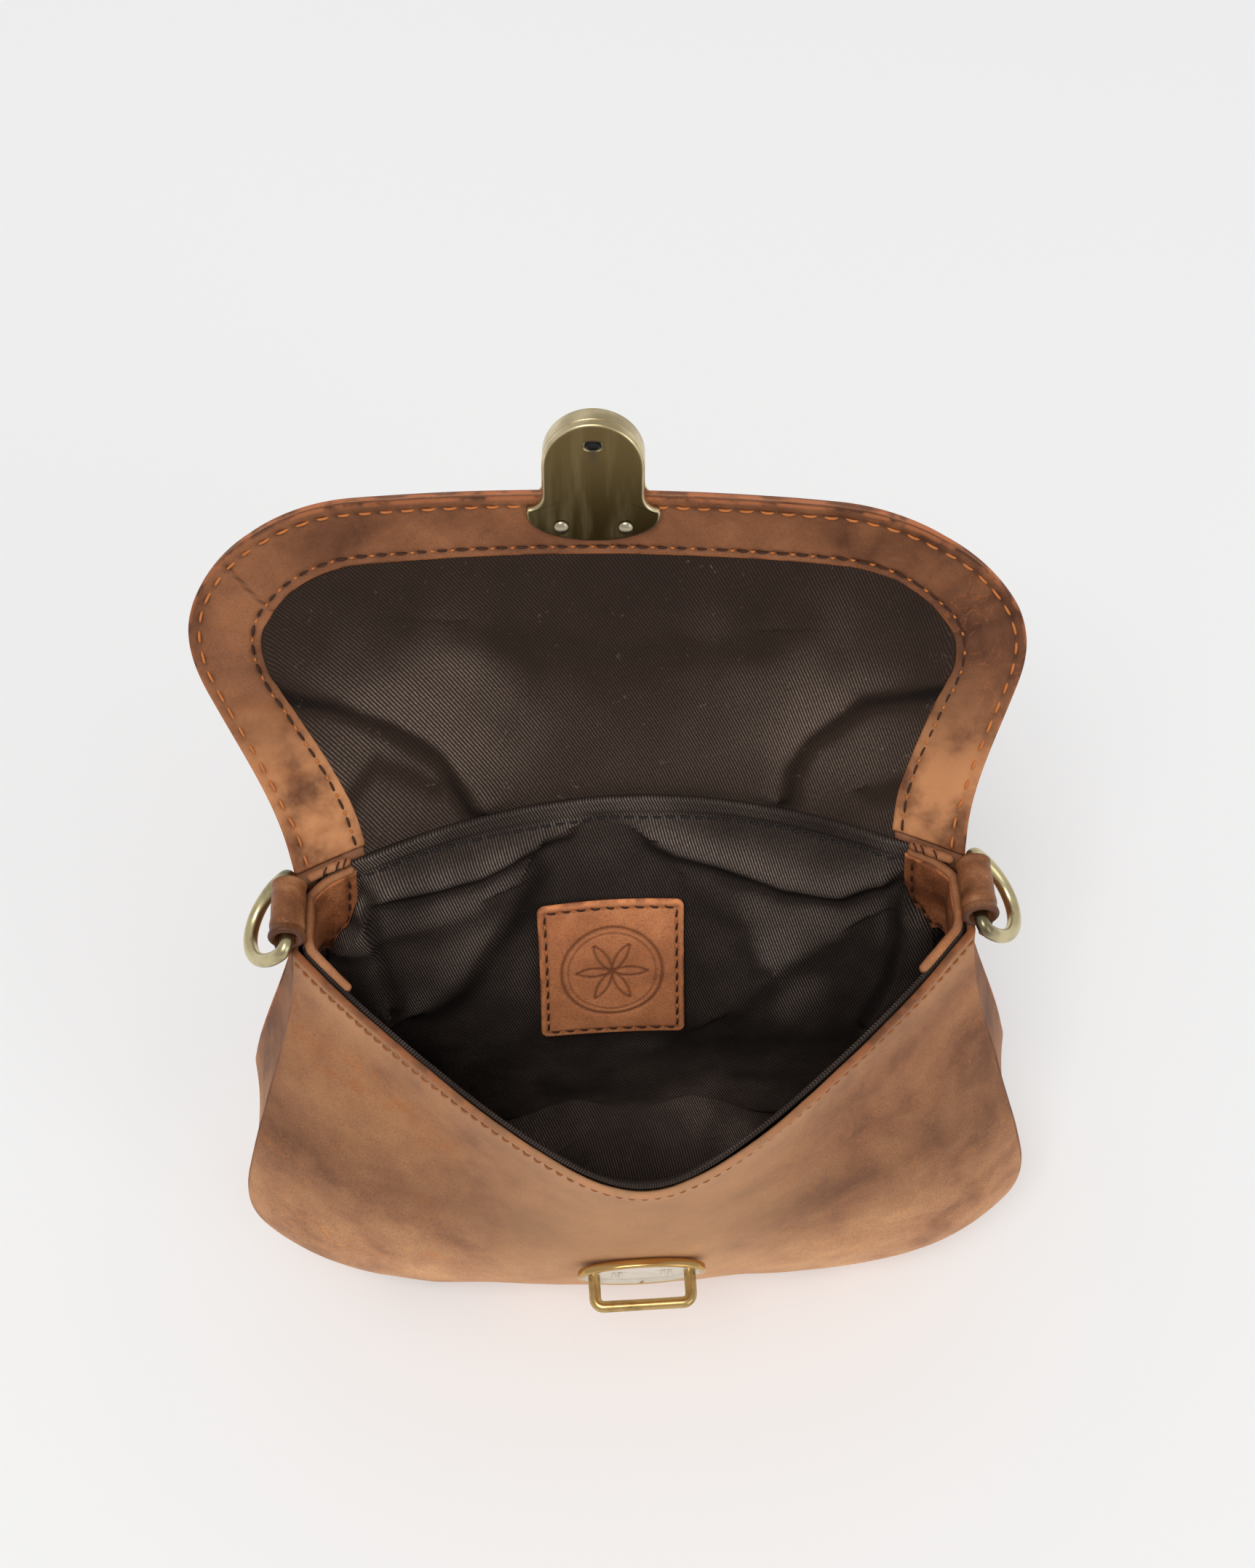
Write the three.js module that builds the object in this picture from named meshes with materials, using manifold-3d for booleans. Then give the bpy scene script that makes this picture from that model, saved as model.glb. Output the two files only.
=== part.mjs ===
// A small leather shoulder bag that stands on its base with the flap thrown back.
// All sizes are in millimetres. X runs across the bag, Y from its front to its back, Z up.
// The origin is on the ground, under the flat of the base.
//
// The body is three sheets of leather: a front panel, a gusset that makes both sides and
// the base, and a back that goes on over the mouth as the flap. Each sheet is a surface
// with two parameters and a thickness. Everything sewn inside lies at a depth below the
// same surface, so it follows when a size changes.

import * as THREE from "three";
import { mergeVertices } from "three/addons/utils/BufferGeometryUtils.js";
import Module from "manifold-3d";

const wasm = await Module();
wasm.setup();

// Sheet thicknesses and the clearance between neighbouring pieces
const LEATHER = 2;
const CLOTH = 1;
const FACING = 1.5;
const GAP = 0.5;

// Outline of the body, seen from the front
const SIDE_HEIGHT = 152;
const BASE_HALF_WIDTH = 62;
const BODY_HALF_WIDTH = 117;
const MOUTH_HALF_WIDTH = 88;
const CORNER_RADIUS = 50;

// Depth of the body, and how its panels swell and open
const BASE_FRONT = 31;
const BASE_BACK = 18;
const MOUTH_HALF_DEPTH = 10.5;
const FRONT_BELLY = 16.5;
const BACK_BELLY = 6;
const SIDE_FOLD = 3;
const MOUTH_PULL = 60;
const MOUTH_DROP = 17;
const BACK_PULL = 27;
const BACK_DROP = 2;
const DENT_DEPTH = 2.6;

// Flap, measured along the leather from the hinge line
const FLAP_LENGTH = 86;
const FLAP_HALF_WIDTH = 111;
const FLAP_END_HALF = 62;
const FLAP_CORNER = 44;
const FLAP_SWAY = 7;
const FLAP_TURN = 3;
const FLAP_FLATTENING = 0.66;
const FACING_WIDTH = 17.5;
const FLAP_FOLD_RISE = 2.6;

// Lining and the facings in its corners
const LINING_SLACK = 22;
const WALL_FOLD_RISE = 3;
const CORNER_FACING_DROP = 25;
const HEM_WIDTH = 8;
const HEM_EXTRA = 1;

// Patch sewn to the lining's back wall
const PATCH_WIDTH = 40;
const PATCH_HEIGHT = 44;
const PATCH_HEIGHT_ON_WALL = 97;
const PATCH_ASIDE = -6;

// Ring tabs and rings
const RING_WIRE = 1.85;
const RING_REACH = 17;
const RING_CORNER = 2.6;
const RING_DROOP = 48;
const BORE_CLEARANCE = 0.6;
const TAB_WALL = 2;
const TAB_LENGTH = 17;
const TAB_TAIL = 14;
const TAB_SHIFT = -1.4;

// Clasp on the flap's edge
const TONGUE_HALF_WIDTH = 12.3;
const TONGUE_LENGTH = 23;
const WING_HALF_WIDTH = 17;
const WING_RISE = 5;
const WING_DROP = 11;
const WING_SHOULDER = 3;
const WING_ROUND = 3;
const CLASP_PLATE = 1.2;
const CLASP_BEVEL = 0.5;
const KEYHOLE_WIDTH = 3.4;
const KEYHOLE_HEIGHT = 2.2;
const KEYHOLE_DEPTH = 2;
const KEYHOLE_FROM_TIP = 6;
const RIVET_SPACING = 16.4;
const RIVET_RISE = 3.6;
const RIVET_SHANK = 0.9;
const RIVET_HEAD = 1.7;
const RIVET_HEAD_HEIGHT = 0.8;
const RIVET_CLEARANCE = 0.3;

// Catch on the front panel
const CATCH_SHARE = 0.5;
const PLATE_HALF_WIDTH = 17.6;
const PLATE_HALF_HEIGHT = 10.6;
const PLATE_THICKNESS = 1.6;
const LOOP_WIRE = 1.5;
const LOOP_REACH = 12.5;
const LOOP_BEND = 3;
const TONGUE_CLEARANCE = 0.5;
const LEG_CLEARANCE = 0.3;
const SLOT_WIDTH = 5;
const SLOT_HEIGHT = 1.6;
const SLOT_SPACING = 13.6;

// How fine the grids are
const COLUMNS = 18;
const ROWS = 12;
const FLAP_ROWS = 11;
const SIDE_COLUMNS = 5;
const WIRE_SIDES = 10;

// Lean of the open flap from upright, in degrees, at shares of its length
const FLAP_LEAN = [
  { share: 0, lean: 18 },
  { share: 0.1, lean: 42 },
  { share: 0.4, lean: 40 },
  { share: 0.75, lean: 22 },
  { share: 1, lean: 14 },
];

// Broad dents in the front panel: centre and radius as shares of its half width and height,
// depth as a share of the deepest one
const FRONT_DENTS = [
  { across: -0.55, up: 0.52, radius: 0.2, depth: 0.85 },
  { across: 0.62, up: 0.45, radius: 0.22, depth: 1 },
  { across: 0.2, up: 0.3, radius: 0.16, depth: 0.45 },
  { across: -0.8, up: 0.78, radius: 0.12, depth: 0.55 },
];

// Folds that stand up in the flap's lining, from one point to another: across as a share of
// the flap's half width, along and width as shares of its length, rise as a share of the highest
const FLAP_FOLDS = [
  { fromAcross: -0.8, fromAlong: 0.46, toAcross: -0.34, toAlong: 0.06, width: 0.07, rise: 1 },
  { fromAcross: 0.8, fromAlong: 0.46, toAcross: 0.36, toAlong: 0.1, width: 0.07, rise: 0.92 },
  { fromAcross: -0.3, fromAlong: 0.5, toAcross: 0.3, toAlong: 0.42, width: 0.14, rise: 0.46 },
];

// Soft folds in the lining's back wall: across, up and width as shares of its half width and
// height, rise as a share of the highest
const WALL_FOLDS = [
  { fromAcross: -0.75, fromUp: 0.85, toAcross: -0.4, toUp: 0.78, width: 0.07, rise: 1 },
  { fromAcross: 0.25, fromUp: 0.82, toAcross: 0.75, toUp: 0.86, width: 0.06, rise: 1 },
  { fromAcross: -0.6, fromUp: 0.3, toAcross: 0.1, toUp: 0.25, width: 0.1, rise: 1 },
];

// How far a corner facing reaches down the inside of the bag, as a share of its greatest drop,
// from its end on the front panel (0) over the gusset to its end on the back (1)
const CORNER_FACING = [
  { place: 0, drop: 0.2 },
  { place: 0.25, drop: 0.32 },
  { place: 0.5, drop: 0.84 },
  { place: 0.8, drop: 1 },
  { place: 1, drop: 0.72 },
];

const { PI, abs, sqrt, sin, cos, min, max } = Math;
const clamp = THREE.MathUtils.clamp;
const lerp = THREE.MathUtils.lerp;
const radians = THREE.MathUtils.degToRad;
const point = (x, y, z) => new THREE.Vector3(x, y, z);

// Even steps from one number to another, both ends included
function steps(from, to, count) {
  return Array.from({ length: count + 1 }, (_, i) => lerp(from, to, i / count));
}

// Slow at both ends, quick in the middle
function ease(share) {
  const t = clamp(share, 0, 1);
  return t * t * (3 - 2 * t);
}

// Interpolates one column of a table over another, with eased steps
function fromTable(table, by, column, value) {
  const next = table.findIndex((row) => row[by] >= value);
  if (next <= 0) return next === 0 ? table[0][column] : table[table.length - 1][column];
  const [a, b] = [table[next - 1], table[next]];
  return lerp(a[column], b[column], ease((value - a[by]) / (b[by] - a[by])));
}

// Height share of a row: rows lie close together near the base, where the leather turns under
function rowHeight(v) {
  const start = 0.22;
  return (sqrt(v * v + start * start) - start) / (sqrt(1 + start * start) - start);
}

// Share of the swelling of a panel at a height: a quarter round at the base, then easing off
function swelling(t, atTop) {
  const full = 0.3;
  const round = sqrt(max(0, 1 - (1 - min(t / full, 1)) ** 2));
  return round * (1 - (1 - atTop) * ease((t - full) / (1 - full)));
}

// A rounded V across the bag: 1 in the middle, 0 at both sides
function roundedV(s) {
  const tip = 0.28;
  return (sqrt(1 + tip * tip) - sqrt(s * s + tip * tip)) / (sqrt(1 + tip * tip) - tip);
}

// Half width of the body at a height: a rounded lower corner, then a taper to the mouth
function halfWidth(z) {
  const taper = lerp(BODY_HALF_WIDTH, MOUTH_HALF_WIDTH, ease((z / SIDE_HEIGHT - 0.1) / 0.95));
  const round = sqrt(max(0, 1 - (1 - clamp(z / CORNER_RADIUS, 0, 1)) ** 2));
  return lerp(BASE_HALF_WIDTH, taper, round);
}

const frontDepth = (z) => lerp(BASE_FRONT, MOUTH_HALF_DEPTH, ease(z / SIDE_HEIGHT));
const backDepth = (z) => lerp(BASE_BACK, MOUTH_HALF_DEPTH, ease(z / SIDE_HEIGHT));

// Swelling falls to nothing at the side seams along a quarter round
const pillow = (s) => sqrt(max(0, 1 - abs(s) ** 6));

// Depth of the broad dents at a place on the front panel
function dents(s, t) {
  return FRONT_DENTS.reduce((sum, dent) => {
    const away = Math.hypot(s - dent.across, t - dent.up) / dent.radius;
    return sum + DENT_DEPTH * dent.depth * Math.exp(-away * away);
  }, 0);
}

// Outer surface of the front panel: u across from -1 to 1, v up from 0 to 1
function frontAt(u, v) {
  const s = sin((u * PI) / 2);
  const t = rowHeight(v);
  const z = t * SIDE_HEIGHT;
  const swell = FRONT_BELLY * swelling(t, 0.25) * pillow(s) - dents(s, t) * (1 - s * s);
  const y = -frontDepth(z) - swell * pillow(s) - MOUTH_PULL * roundedV(s) * t ** 1.15;
  return point(s * halfWidth(z), y, z - MOUTH_DROP * roundedV(s) * t * t);
}

// Outer surface of the back wall, up to the hinge line of the flap
function backAt(u, v) {
  const s = sin((u * PI) / 2);
  const t = rowHeight(v);
  const z = t * SIDE_HEIGHT;
  const arch = 1 - s * s;
  const y = backDepth(z) + BACK_BELLY * swelling(t, 0) * pillow(s) + BACK_PULL * arch * t ** 1.5;
  return point(s * halfWidth(z), y, z - BACK_DROP * arch * t * t);
}

// Outer surface of one side of the gusset: q from the front seam to the back seam
function sideAt(side, q, v) {
  const t = rowHeight(v);
  const z = t * SIDE_HEIGHT;
  const fold = SIDE_FOLD * 4 * q * (1 - q) * sin(PI * t);
  return point(side * (halfWidth(z) - fold), lerp(-frontDepth(z), backDepth(z), q), z);
}

// Unit normal of a surface, from small steps taken inside its edges
function normalOf(surface, u, v, low, high) {
  const step = 0.004;
  const a = clamp(u, low + 4 * step, high - 4 * step);
  const b = clamp(v, 4 * step, 1 - 4 * step);
  const along = surface(a + step, b).sub(surface(a - step, b));
  const up = surface(a, b + step).sub(surface(a, b - step));
  return along.cross(up).normalize();
}

// Direction from the outer surface of a body wall into the bag. On the base it is straight
// up, and on the seams of the sides it is straight across, so that neighbours meet squarely.
function inward(wall, side, along, v) {
  if (v === 0) return point(0, 0, 1);
  if (wall === "side") {
    if (along === 0 || along === 1) return point(-side, 0, 0);
    return normalOf((q, w) => sideAt(side, q, w), along, v, 0, 1).multiplyScalar(-side);
  }
  if (abs(along) === 1) return point(-along, 0, 0);
  const surface = wall === "front" ? frontAt : backAt;
  return normalOf(surface, along, v, -1, 1).multiplyScalar(wall === "front" ? -1 : 1);
}

// A point of a body wall, at a depth below its outer surface
function bodyPoint(wall, side, along, v, depth) {
  const outer =
    wall === "side" ? sideAt(side, along, v) : wall === "front" ? frontAt(along, v) : backAt(along, v);
  return outer.addScaledVector(inward(wall, side, along, v), depth);
}

// The open flap's centre line: how far back and up it has gone at a length from the hinge
function flapReach(length) {
  const pieces = 24;
  return steps(0, length, pieces).reduce(
    (reach, l, i) => {
      if (i === 0) return reach;
      const middle = l - length / pieces / 2;
      const lean = radians(fromTable(FLAP_LEAN, "share", "lean", middle / FLAP_LENGTH));
      reach.back += (sin(lean) * length) / pieces;
      reach.up += (cos(lean) * length) / pieces;
      return reach;
    },
    { back: 0, up: 0 },
  );
}

// Outer surface of the flap at x across and l along. The hinge line is bowed like the top of
// the back wall, and the bow eases out towards the flap's end.
function flapAt(x, l) {
  const reach = flapReach(l);
  const share = l / FLAP_LENGTH;
  const across = abs(x) / MOUTH_HALF_WIDTH;
  const bow = across > 1 ? across : across * across;
  const kept = 1 - FLAP_FLATTENING * sin((clamp(share, 0, 1) * PI) / 2);
  const turned = (FLAP_TURN * share * x) / FLAP_END_HALF;
  return point(
    x - FLAP_SWAY * share,
    MOUTH_HALF_DEPTH + BACK_PULL + reach.back - BACK_PULL * bow * kept - turned,
    SIDE_HEIGHT - BACK_DROP + reach.up + BACK_DROP * bow,
  );
}

// A point below the flap's outer surface, on the side that shows when the flap is open
function flapPoint(x, l, depth) {
  const step = 0.5;
  const across = flapAt(x + step, l).sub(flapAt(x - step, l));
  const along = flapAt(x, l + step).sub(flapAt(x, l - step));
  return flapAt(x, l).addScaledVector(across.cross(along).normalize(), depth);
}

// Flat outline of the flap, drawn in by an inset: at v from 0 to 1 it gives the length from
// the hinge and the half width there. The sides flare, and the corners are quarter ellipses.
function flapOutline(v, inset) {
  const corner = FLAP_CORNER - inset;
  const straight = FLAP_LENGTH - inset - corner;
  const turn = clamp(2 * v - 1, 0, 1) * (PI / 2);
  const l = v < 0.5 ? 2 * v * straight : straight + corner * sin(turn);
  const flare = ease(l / (FLAP_LENGTH - 0.5 * FLAP_CORNER));
  const side = lerp(MOUTH_HALF_WIDTH, FLAP_HALF_WIDTH, flare) - inset;
  return { l, half: lerp(FLAP_END_HALF, side, cos(turn)) };
}

// Height of a row of folds at a place, as a share of the highest, each fold a rounded ridge
// along its own line
function ridges(folds, across, along, lineOf) {
  return folds.reduce((sum, fold) => {
    const { a, b, width } = lineOf(fold);
    const line = b.clone().sub(a);
    const share = clamp(point(across, along, 0).sub(a).dot(line) / line.lengthSq(), 0, 1);
    const away = point(across, along, 0).distanceTo(a.addScaledVector(line, share)) / width;
    return sum + fold.rise * Math.exp(-away * away);
  }, 0);
}

// Turns a list of triangles over where the body they close would be inside out
function closedBody(positions, triangles) {
  const corner = (i) => point(...positions.slice(3 * i, 3 * i + 3));
  let volume = 0;
  for (let i = 0; i < triangles.length; i += 3) {
    const [a, b, c] = [0, 1, 2].map((k) => corner(triangles[i + k]));
    volume += a.dot(b.cross(c));
  }
  const faces = volume < 0 ? triangles.toReversed() : triangles;
  const geometry = new THREE.BufferGeometry();
  geometry.setAttribute("position", new THREE.Float32BufferAttribute(positions, 3));
  geometry.setIndex(faces);
  return geometry;
}

// A sheet with two faces and four edges: place(column, row, face) gives the points, with
// face 0 below and 1 above
function sheet(columns, rows, place) {
  const positions = [];
  const triangles = [];
  const count = { across: columns.length, up: rows.length };
  for (const face of [0, 1])
    for (const row of rows)
      for (const column of columns) positions.push(...place(column, row, face).toArray());
  const at = (i, j, face) => i + count.across * (j + count.up * face);
  const quad = (a, b, c, d) => triangles.push(a, b, c, a, c, d);
  const [right, top] = [count.across - 1, count.up - 1];
  for (let j = 0; j < top; j++)
    for (let i = 0; i < right; i++) {
      quad(at(i, j, 0), at(i, j + 1, 0), at(i + 1, j + 1, 0), at(i + 1, j, 0));
      quad(at(i, j, 1), at(i + 1, j, 1), at(i + 1, j + 1, 1), at(i, j + 1, 1));
    }
  for (let i = 0; i < right; i++) {
    quad(at(i, 0, 0), at(i + 1, 0, 0), at(i + 1, 0, 1), at(i, 0, 1));
    quad(at(i, top, 0), at(i, top, 1), at(i + 1, top, 1), at(i + 1, top, 0));
  }
  for (let j = 0; j < top; j++) {
    quad(at(0, j, 0), at(0, j, 1), at(0, j + 1, 1), at(0, j + 1, 0));
    quad(at(right, j, 0), at(right, j + 1, 0), at(right, j + 1, 1), at(right, j, 1));
  }
  return closedBody(positions, triangles);
}

// A skin over a row of closed rings, shut at both ends by a fan to a pole, or with the last
// ring joined to the first one where there are no poles
function skin(rings, poles) {
  const around = rings[0].length;
  const positions = [...rings.flat(), ...poles].flatMap((p) => p.toArray());
  const triangles = [];
  const joins = poles.length ? rings.length - 1 : rings.length;
  for (let j = 0; j < joins; j++)
    for (let i = 0; i < around; i++) {
      const [next, over] = [(i + 1) % around, (j + 1) % rings.length];
      const [a, b] = [j * around + i, j * around + next];
      const [c, d] = [over * around + next, over * around + i];
      triangles.push(a, b, c, a, c, d);
    }
  if (poles.length) {
    const first = rings.length * around;
    const last = (rings.length - 1) * around;
    for (let i = 0; i < around; i++) {
      const next = (i + 1) % around;
      triangles.push(first, next, i);
      triangles.push(first + 1, last + i, last + next);
    }
  }
  return closedBody(positions, triangles);
}

// Corners of an oval, for outlines and holes
function oval(x, y, halfWide, halfHigh, sides) {
  const ellipse = new THREE.EllipseCurve(x, y, halfWide, halfHigh, 0, 2 * PI);
  return ellipse.getPoints(sides).slice(0, -1);
}

// The same piece on the other side of the bag
function mirrored(geometry) {
  const flipped = mergeVertices(stripped(geometry), 1e-4);
  flipped.scale(-1, 1, 1);
  return closedBody([...flipped.attributes.position.array], [...flipped.index.array]);
}

function stripped(geometry) {
  const plain = geometry.clone();
  plain.deleteAttribute("normal");
  plain.deleteAttribute("uv");
  return plain;
}

function toSolid(geometry) {
  const merged = mergeVertices(stripped(geometry), 1e-4);
  return new wasm.Manifold(
    new wasm.Mesh({
      numProp: 3,
      vertProperties: new Float32Array(merged.attributes.position.array),
      triVerts: new Uint32Array(merged.index.array),
    }),
  );
}

// Cuts the tools out of a piece
function cut(piece, tools) {
  const result = tools.reduce((solid, tool) => solid.subtract(toSolid(tool)), toSolid(piece)).getMesh();
  const geometry = new THREE.BufferGeometry();
  geometry.setAttribute("position", new THREE.Float32BufferAttribute([...result.vertProperties], 3));
  geometry.setIndex([...result.triVerts]);
  return geometry;
}

const COLUMN_LIST = steps(-1, 1, COLUMNS);
const ROW_LIST = steps(0, 1, ROWS);
const SIDE_LIST = steps(0.15, 0.85, SIDE_COLUMNS - 1);

// Front panel: one piece of leather from the base to the mouth
function frontPanel() {
  return sheet(COLUMN_LIST, ROW_LIST, (u, v, face) => bodyPoint("front", 1, u, v, face * LEATHER));
}

// Back wall and flap: one piece of leather that bends at the hinge line
function backFlap() {
  const rows = [
    ...ROW_LIST.map((v) => ({ part: "back", v })),
    ...steps(0, 1, FLAP_ROWS).slice(1).map((v) => ({ part: "flap", v })),
  ];
  return sheet(COLUMN_LIST, rows, (u, row, face) => {
    if (row.part === "back") return bodyPoint("back", 1, u, row.v, face * LEATHER);
    const { l, half } = flapOutline(row.v, 0);
    return flapPoint(sin((u * PI) / 2) * half, l, face * LEATHER);
  });
}

// Gusset: a strip of leather up both sides and under the base, between the two panels.
// Its back seam keeps clear of the back wall where that turns away at the mouth.
function gusset() {
  const sides = (side) => ROW_LIST.map((v) => ({ side, v: min(v, 1 - GAP / SIDE_HEIGHT) }));
  const under = steps(-BASE_HALF_WIDTH, BASE_HALF_WIDTH, 4).slice(1, -1).map((x) => ({ side: 0, x }));
  const stations = [...sides(-1).reverse(), ...under, ...sides(1)];
  return sheet(stations, steps(0, 1, SIDE_COLUMNS), (station, q, face) => {
    const v = station.side === 0 ? 0 : station.v;
    const z = rowHeight(v) * SIDE_HEIGHT;
    const width = frontDepth(z) + backDepth(z);
    const seam = GAP + LEATHER * ease(z / SIDE_HEIGHT);
    const along = lerp(GAP / width, 1 - seam / width, q);
    if (station.side === 0) return point(station.x, lerp(-BASE_FRONT, BASE_BACK, along), face * LEATHER);
    const into = inward("side", station.side, q, v);
    return sideAt(station.side, along, v).addScaledVector(into, face * LEATHER);
  });
}

// Places along the inside of the bag, once around: front, right side, back, left side. The
// lining cuts across the narrow corner between the gusset and the back.
function insideStations() {
  const front = COLUMN_LIST.slice(1, -1).map((along) => ({ wall: "front", side: 1, along }));
  const right = SIDE_LIST.map((along) => ({ wall: "side", side: 1, along }));
  const back = COLUMN_LIST.slice(2, -2).reverse().map((along) => ({ wall: "back", side: 1, along }));
  const left = right.toReversed().map((station) => ({ ...station, side: -1 }));
  return [...front, ...right, ...back, ...left];
}

// How far the lining's back wall hangs in front of the leather: slack that is greatest below
// the middle, with soft folds in it
function slack(u, v) {
  const s = sin((u * PI) / 2);
  const t = rowHeight(v);
  const hang = ease((1 - t) / 0.5) * ease(t / 0.3);
  const folds = ridges(WALL_FOLDS, s, t, (fold) => ({
    a: point(fold.fromAcross, fold.fromUp, 0),
    b: point(fold.toAcross, fold.toUp, 0),
    width: fold.width,
  }));
  const held = ease((1 - t) / 0.1) * ease(t / 0.2);
  return (LINING_SLACK * hang + WALL_FOLD_RISE * folds * held) * (1 - s ** 4);
}

const LINING_OUT = LEATHER + GAP;
const LINING_IN = LINING_OUT + CLOTH;
const HEM_ROW = 1 - HEM_WIDTH / SIDE_HEIGHT;
const HEM_END = 0.6;

// A point of the lining's floor: the base's outline drawn in, so that the cloth rounds its edge
function floorPoint(wall, side, along, depth, share) {
  const edge = bodyPoint(wall, side, along, 0, depth);
  const middle = (BASE_BACK - BASE_FRONT) / 2;
  const [wide, deep] = [1 - depth / BASE_HALF_WIDTH, 1 - (2 * depth) / (BASE_FRONT + BASE_BACK)];
  return point(edge.x * share * wide, middle + (edge.y - middle) * share * deep, depth);
}

// Lining: a cloth bag with an open top, turned over in a hem along the back
function lining() {
  const stations = insideStations();
  const rows = [...ROW_LIST.slice(0, -1), HEM_ROW, HEM_ROW + 0.01, 1].sort((a, b) => a - b);
  const ring = (v, inside) =>
    stations.map(({ wall, side, along }) => {
      if (v === 0) return floorPoint(wall, side, along, inside ? LINING_IN : LINING_OUT, 1);
      const hung = wall === "back" ? slack(along, v) : 0;
      const hem = inside && wall === "back" && abs(along) < HEM_END && v > HEM_ROW ? HEM_EXTRA : 0;
      return bodyPoint(wall, side, along, v, (inside ? LINING_IN : LINING_OUT) + hung + hem);
    });
  const floor = (depth) =>
    [0.35, 0.7].map((share) =>
      stations.map(({ wall, side, along }) => floorPoint(wall, side, along, depth, share)),
    );
  const outside = rows.map((v) => ring(v, false));
  const inside = rows.map((v) => ring(v, true)).reverse();
  return skin(
    [...floor(LINING_OUT), ...outside, ...inside, ...floor(LINING_IN).reverse()],
    [LINING_OUT, LINING_IN].map((depth) => point(0, (BASE_BACK - BASE_FRONT) / 2, depth)),
  );
}

// Corner facing: leather over the lining at the top of the gusset, lapping onto both panels
function cornerFacing(side) {
  const panel = (wall, along) => ({ wall, along: side * along });
  const stations = [
    ...COLUMN_LIST.slice(-4, -1).map((along) => panel("front", along)),
    ...SIDE_LIST.map((along) => ({ wall: "side", along })),
    ...COLUMN_LIST.slice(-4, -2).reverse().map((along) => panel("back", along)),
  ];
  const depth = LINING_IN + 2 * GAP;
  const last = stations.length - 1;
  return sheet(stations, steps(0, 1, 4), ({ wall, along }, share, face) => {
    const place = stations.findIndex((station) => station.wall === wall && station.along === along) / last;
    const drop = CORNER_FACING_DROP * fromTable(CORNER_FACING, "place", "drop", place);
    const low = 1 - drop / SIDE_HEIGHT;
    const v = lerp(low, 1 - GAP / SIDE_HEIGHT, share);
    const hung = wall === "back" ? slack(along, v) : 0;
    return bodyPoint(wall, side, along, v, depth + hung + face * FACING);
  });
}

// Facing: a band of leather round the open side of the flap, with the flap's own outline
function flapFacing() {
  const top = steps(-1, 1, 6).slice(1, -1).map((s) => ({ s, v: 1 }));
  const edge = (s) => steps(0.03, 1, FLAP_ROWS).map((v) => ({ s, v }));
  const stations = [...edge(-1), ...top, ...edge(1).reverse()];
  const start = LEATHER + GAP;
  return sheet(stations, [0, 0.5, 1], ({ s, v }, share, face) => {
    const { l, half } = flapOutline(v, share * FACING_WIDTH);
    return flapPoint(s * half, l, start + face * FACING);
  });
}

// Lining of the flap, inside the band of leather, with the folds it stands up in
function flapLining() {
  const inset = FACING_WIDTH + GAP;
  const start = LEATHER + GAP;
  const columns = steps(-1, 1, 16);
  const rows = steps(0.035, 1, FLAP_ROWS);
  return sheet(columns, rows, (u, v, face) => {
    const { l, half } = flapOutline(v, inset);
    const x = sin((u * PI) / 2) * half;
    const folds = ridges(FLAP_FOLDS, x, l, (fold) => ({
      a: point(fold.fromAcross * FLAP_HALF_WIDTH, fold.fromAlong * FLAP_LENGTH, 0),
      b: point(fold.toAcross * FLAP_HALF_WIDTH, fold.toAlong * FLAP_LENGTH, 0),
      width: fold.width * FLAP_LENGTH,
    }));
    const held = ease((1 - abs(u)) / 0.15) * ease((1 - v) / 0.2) * ease((v - 0.035) / 0.05);
    return flapPoint(x, l, start + FLAP_FOLD_RISE * folds * held + face * CLOTH);
  });
}

// Patch: a small plate of leather on the lining's back wall
function innerPatch() {
  const share = PATCH_HEIGHT_ON_WALL / SIDE_HEIGHT;
  const rows = steps(0, 1, 200);
  const middle = rows.find((v) => rowHeight(v) >= share);
  const wall = (x, v) => {
    const u = (Math.asin(x / halfWidth(rowHeight(v) * SIDE_HEIGHT)) * 2) / PI;
    return (depth) => bodyPoint("back", 1, u, v, LINING_IN + 2 * GAP + slack(u, v) + depth);
  };
  const stretch = wall(PATCH_ASIDE, middle + 0.01)(0).distanceTo(wall(PATCH_ASIDE, middle - 0.01)(0)) / 0.02;
  const reach = PATCH_HEIGHT / 2 / stretch;
  const columns = steps(-PATCH_WIDTH / 2, PATCH_WIDTH / 2, 6);
  return sheet(columns, steps(-reach, reach, 6), (x, dv, face) =>
    wall(PATCH_ASIDE + x, middle + dv)(face * FACING),
  );
}

const BORE = RING_WIRE + BORE_CLEARANCE;
const TAB_RADIUS = BORE + TAB_WALL;
const TAIL_BOTTOM = SIDE_HEIGHT - TAB_TAIL;
const TAIL_INNER = halfWidth(TAIL_BOTTOM) + GAP;
const TAIL_OUTER = TAIL_INNER + TAB_WALL;
const TAB_CENTRE = { x: TAIL_OUTER - 0.8 * TAB_RADIUS, z: SIDE_HEIGHT + GAP + TAB_RADIUS };

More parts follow.
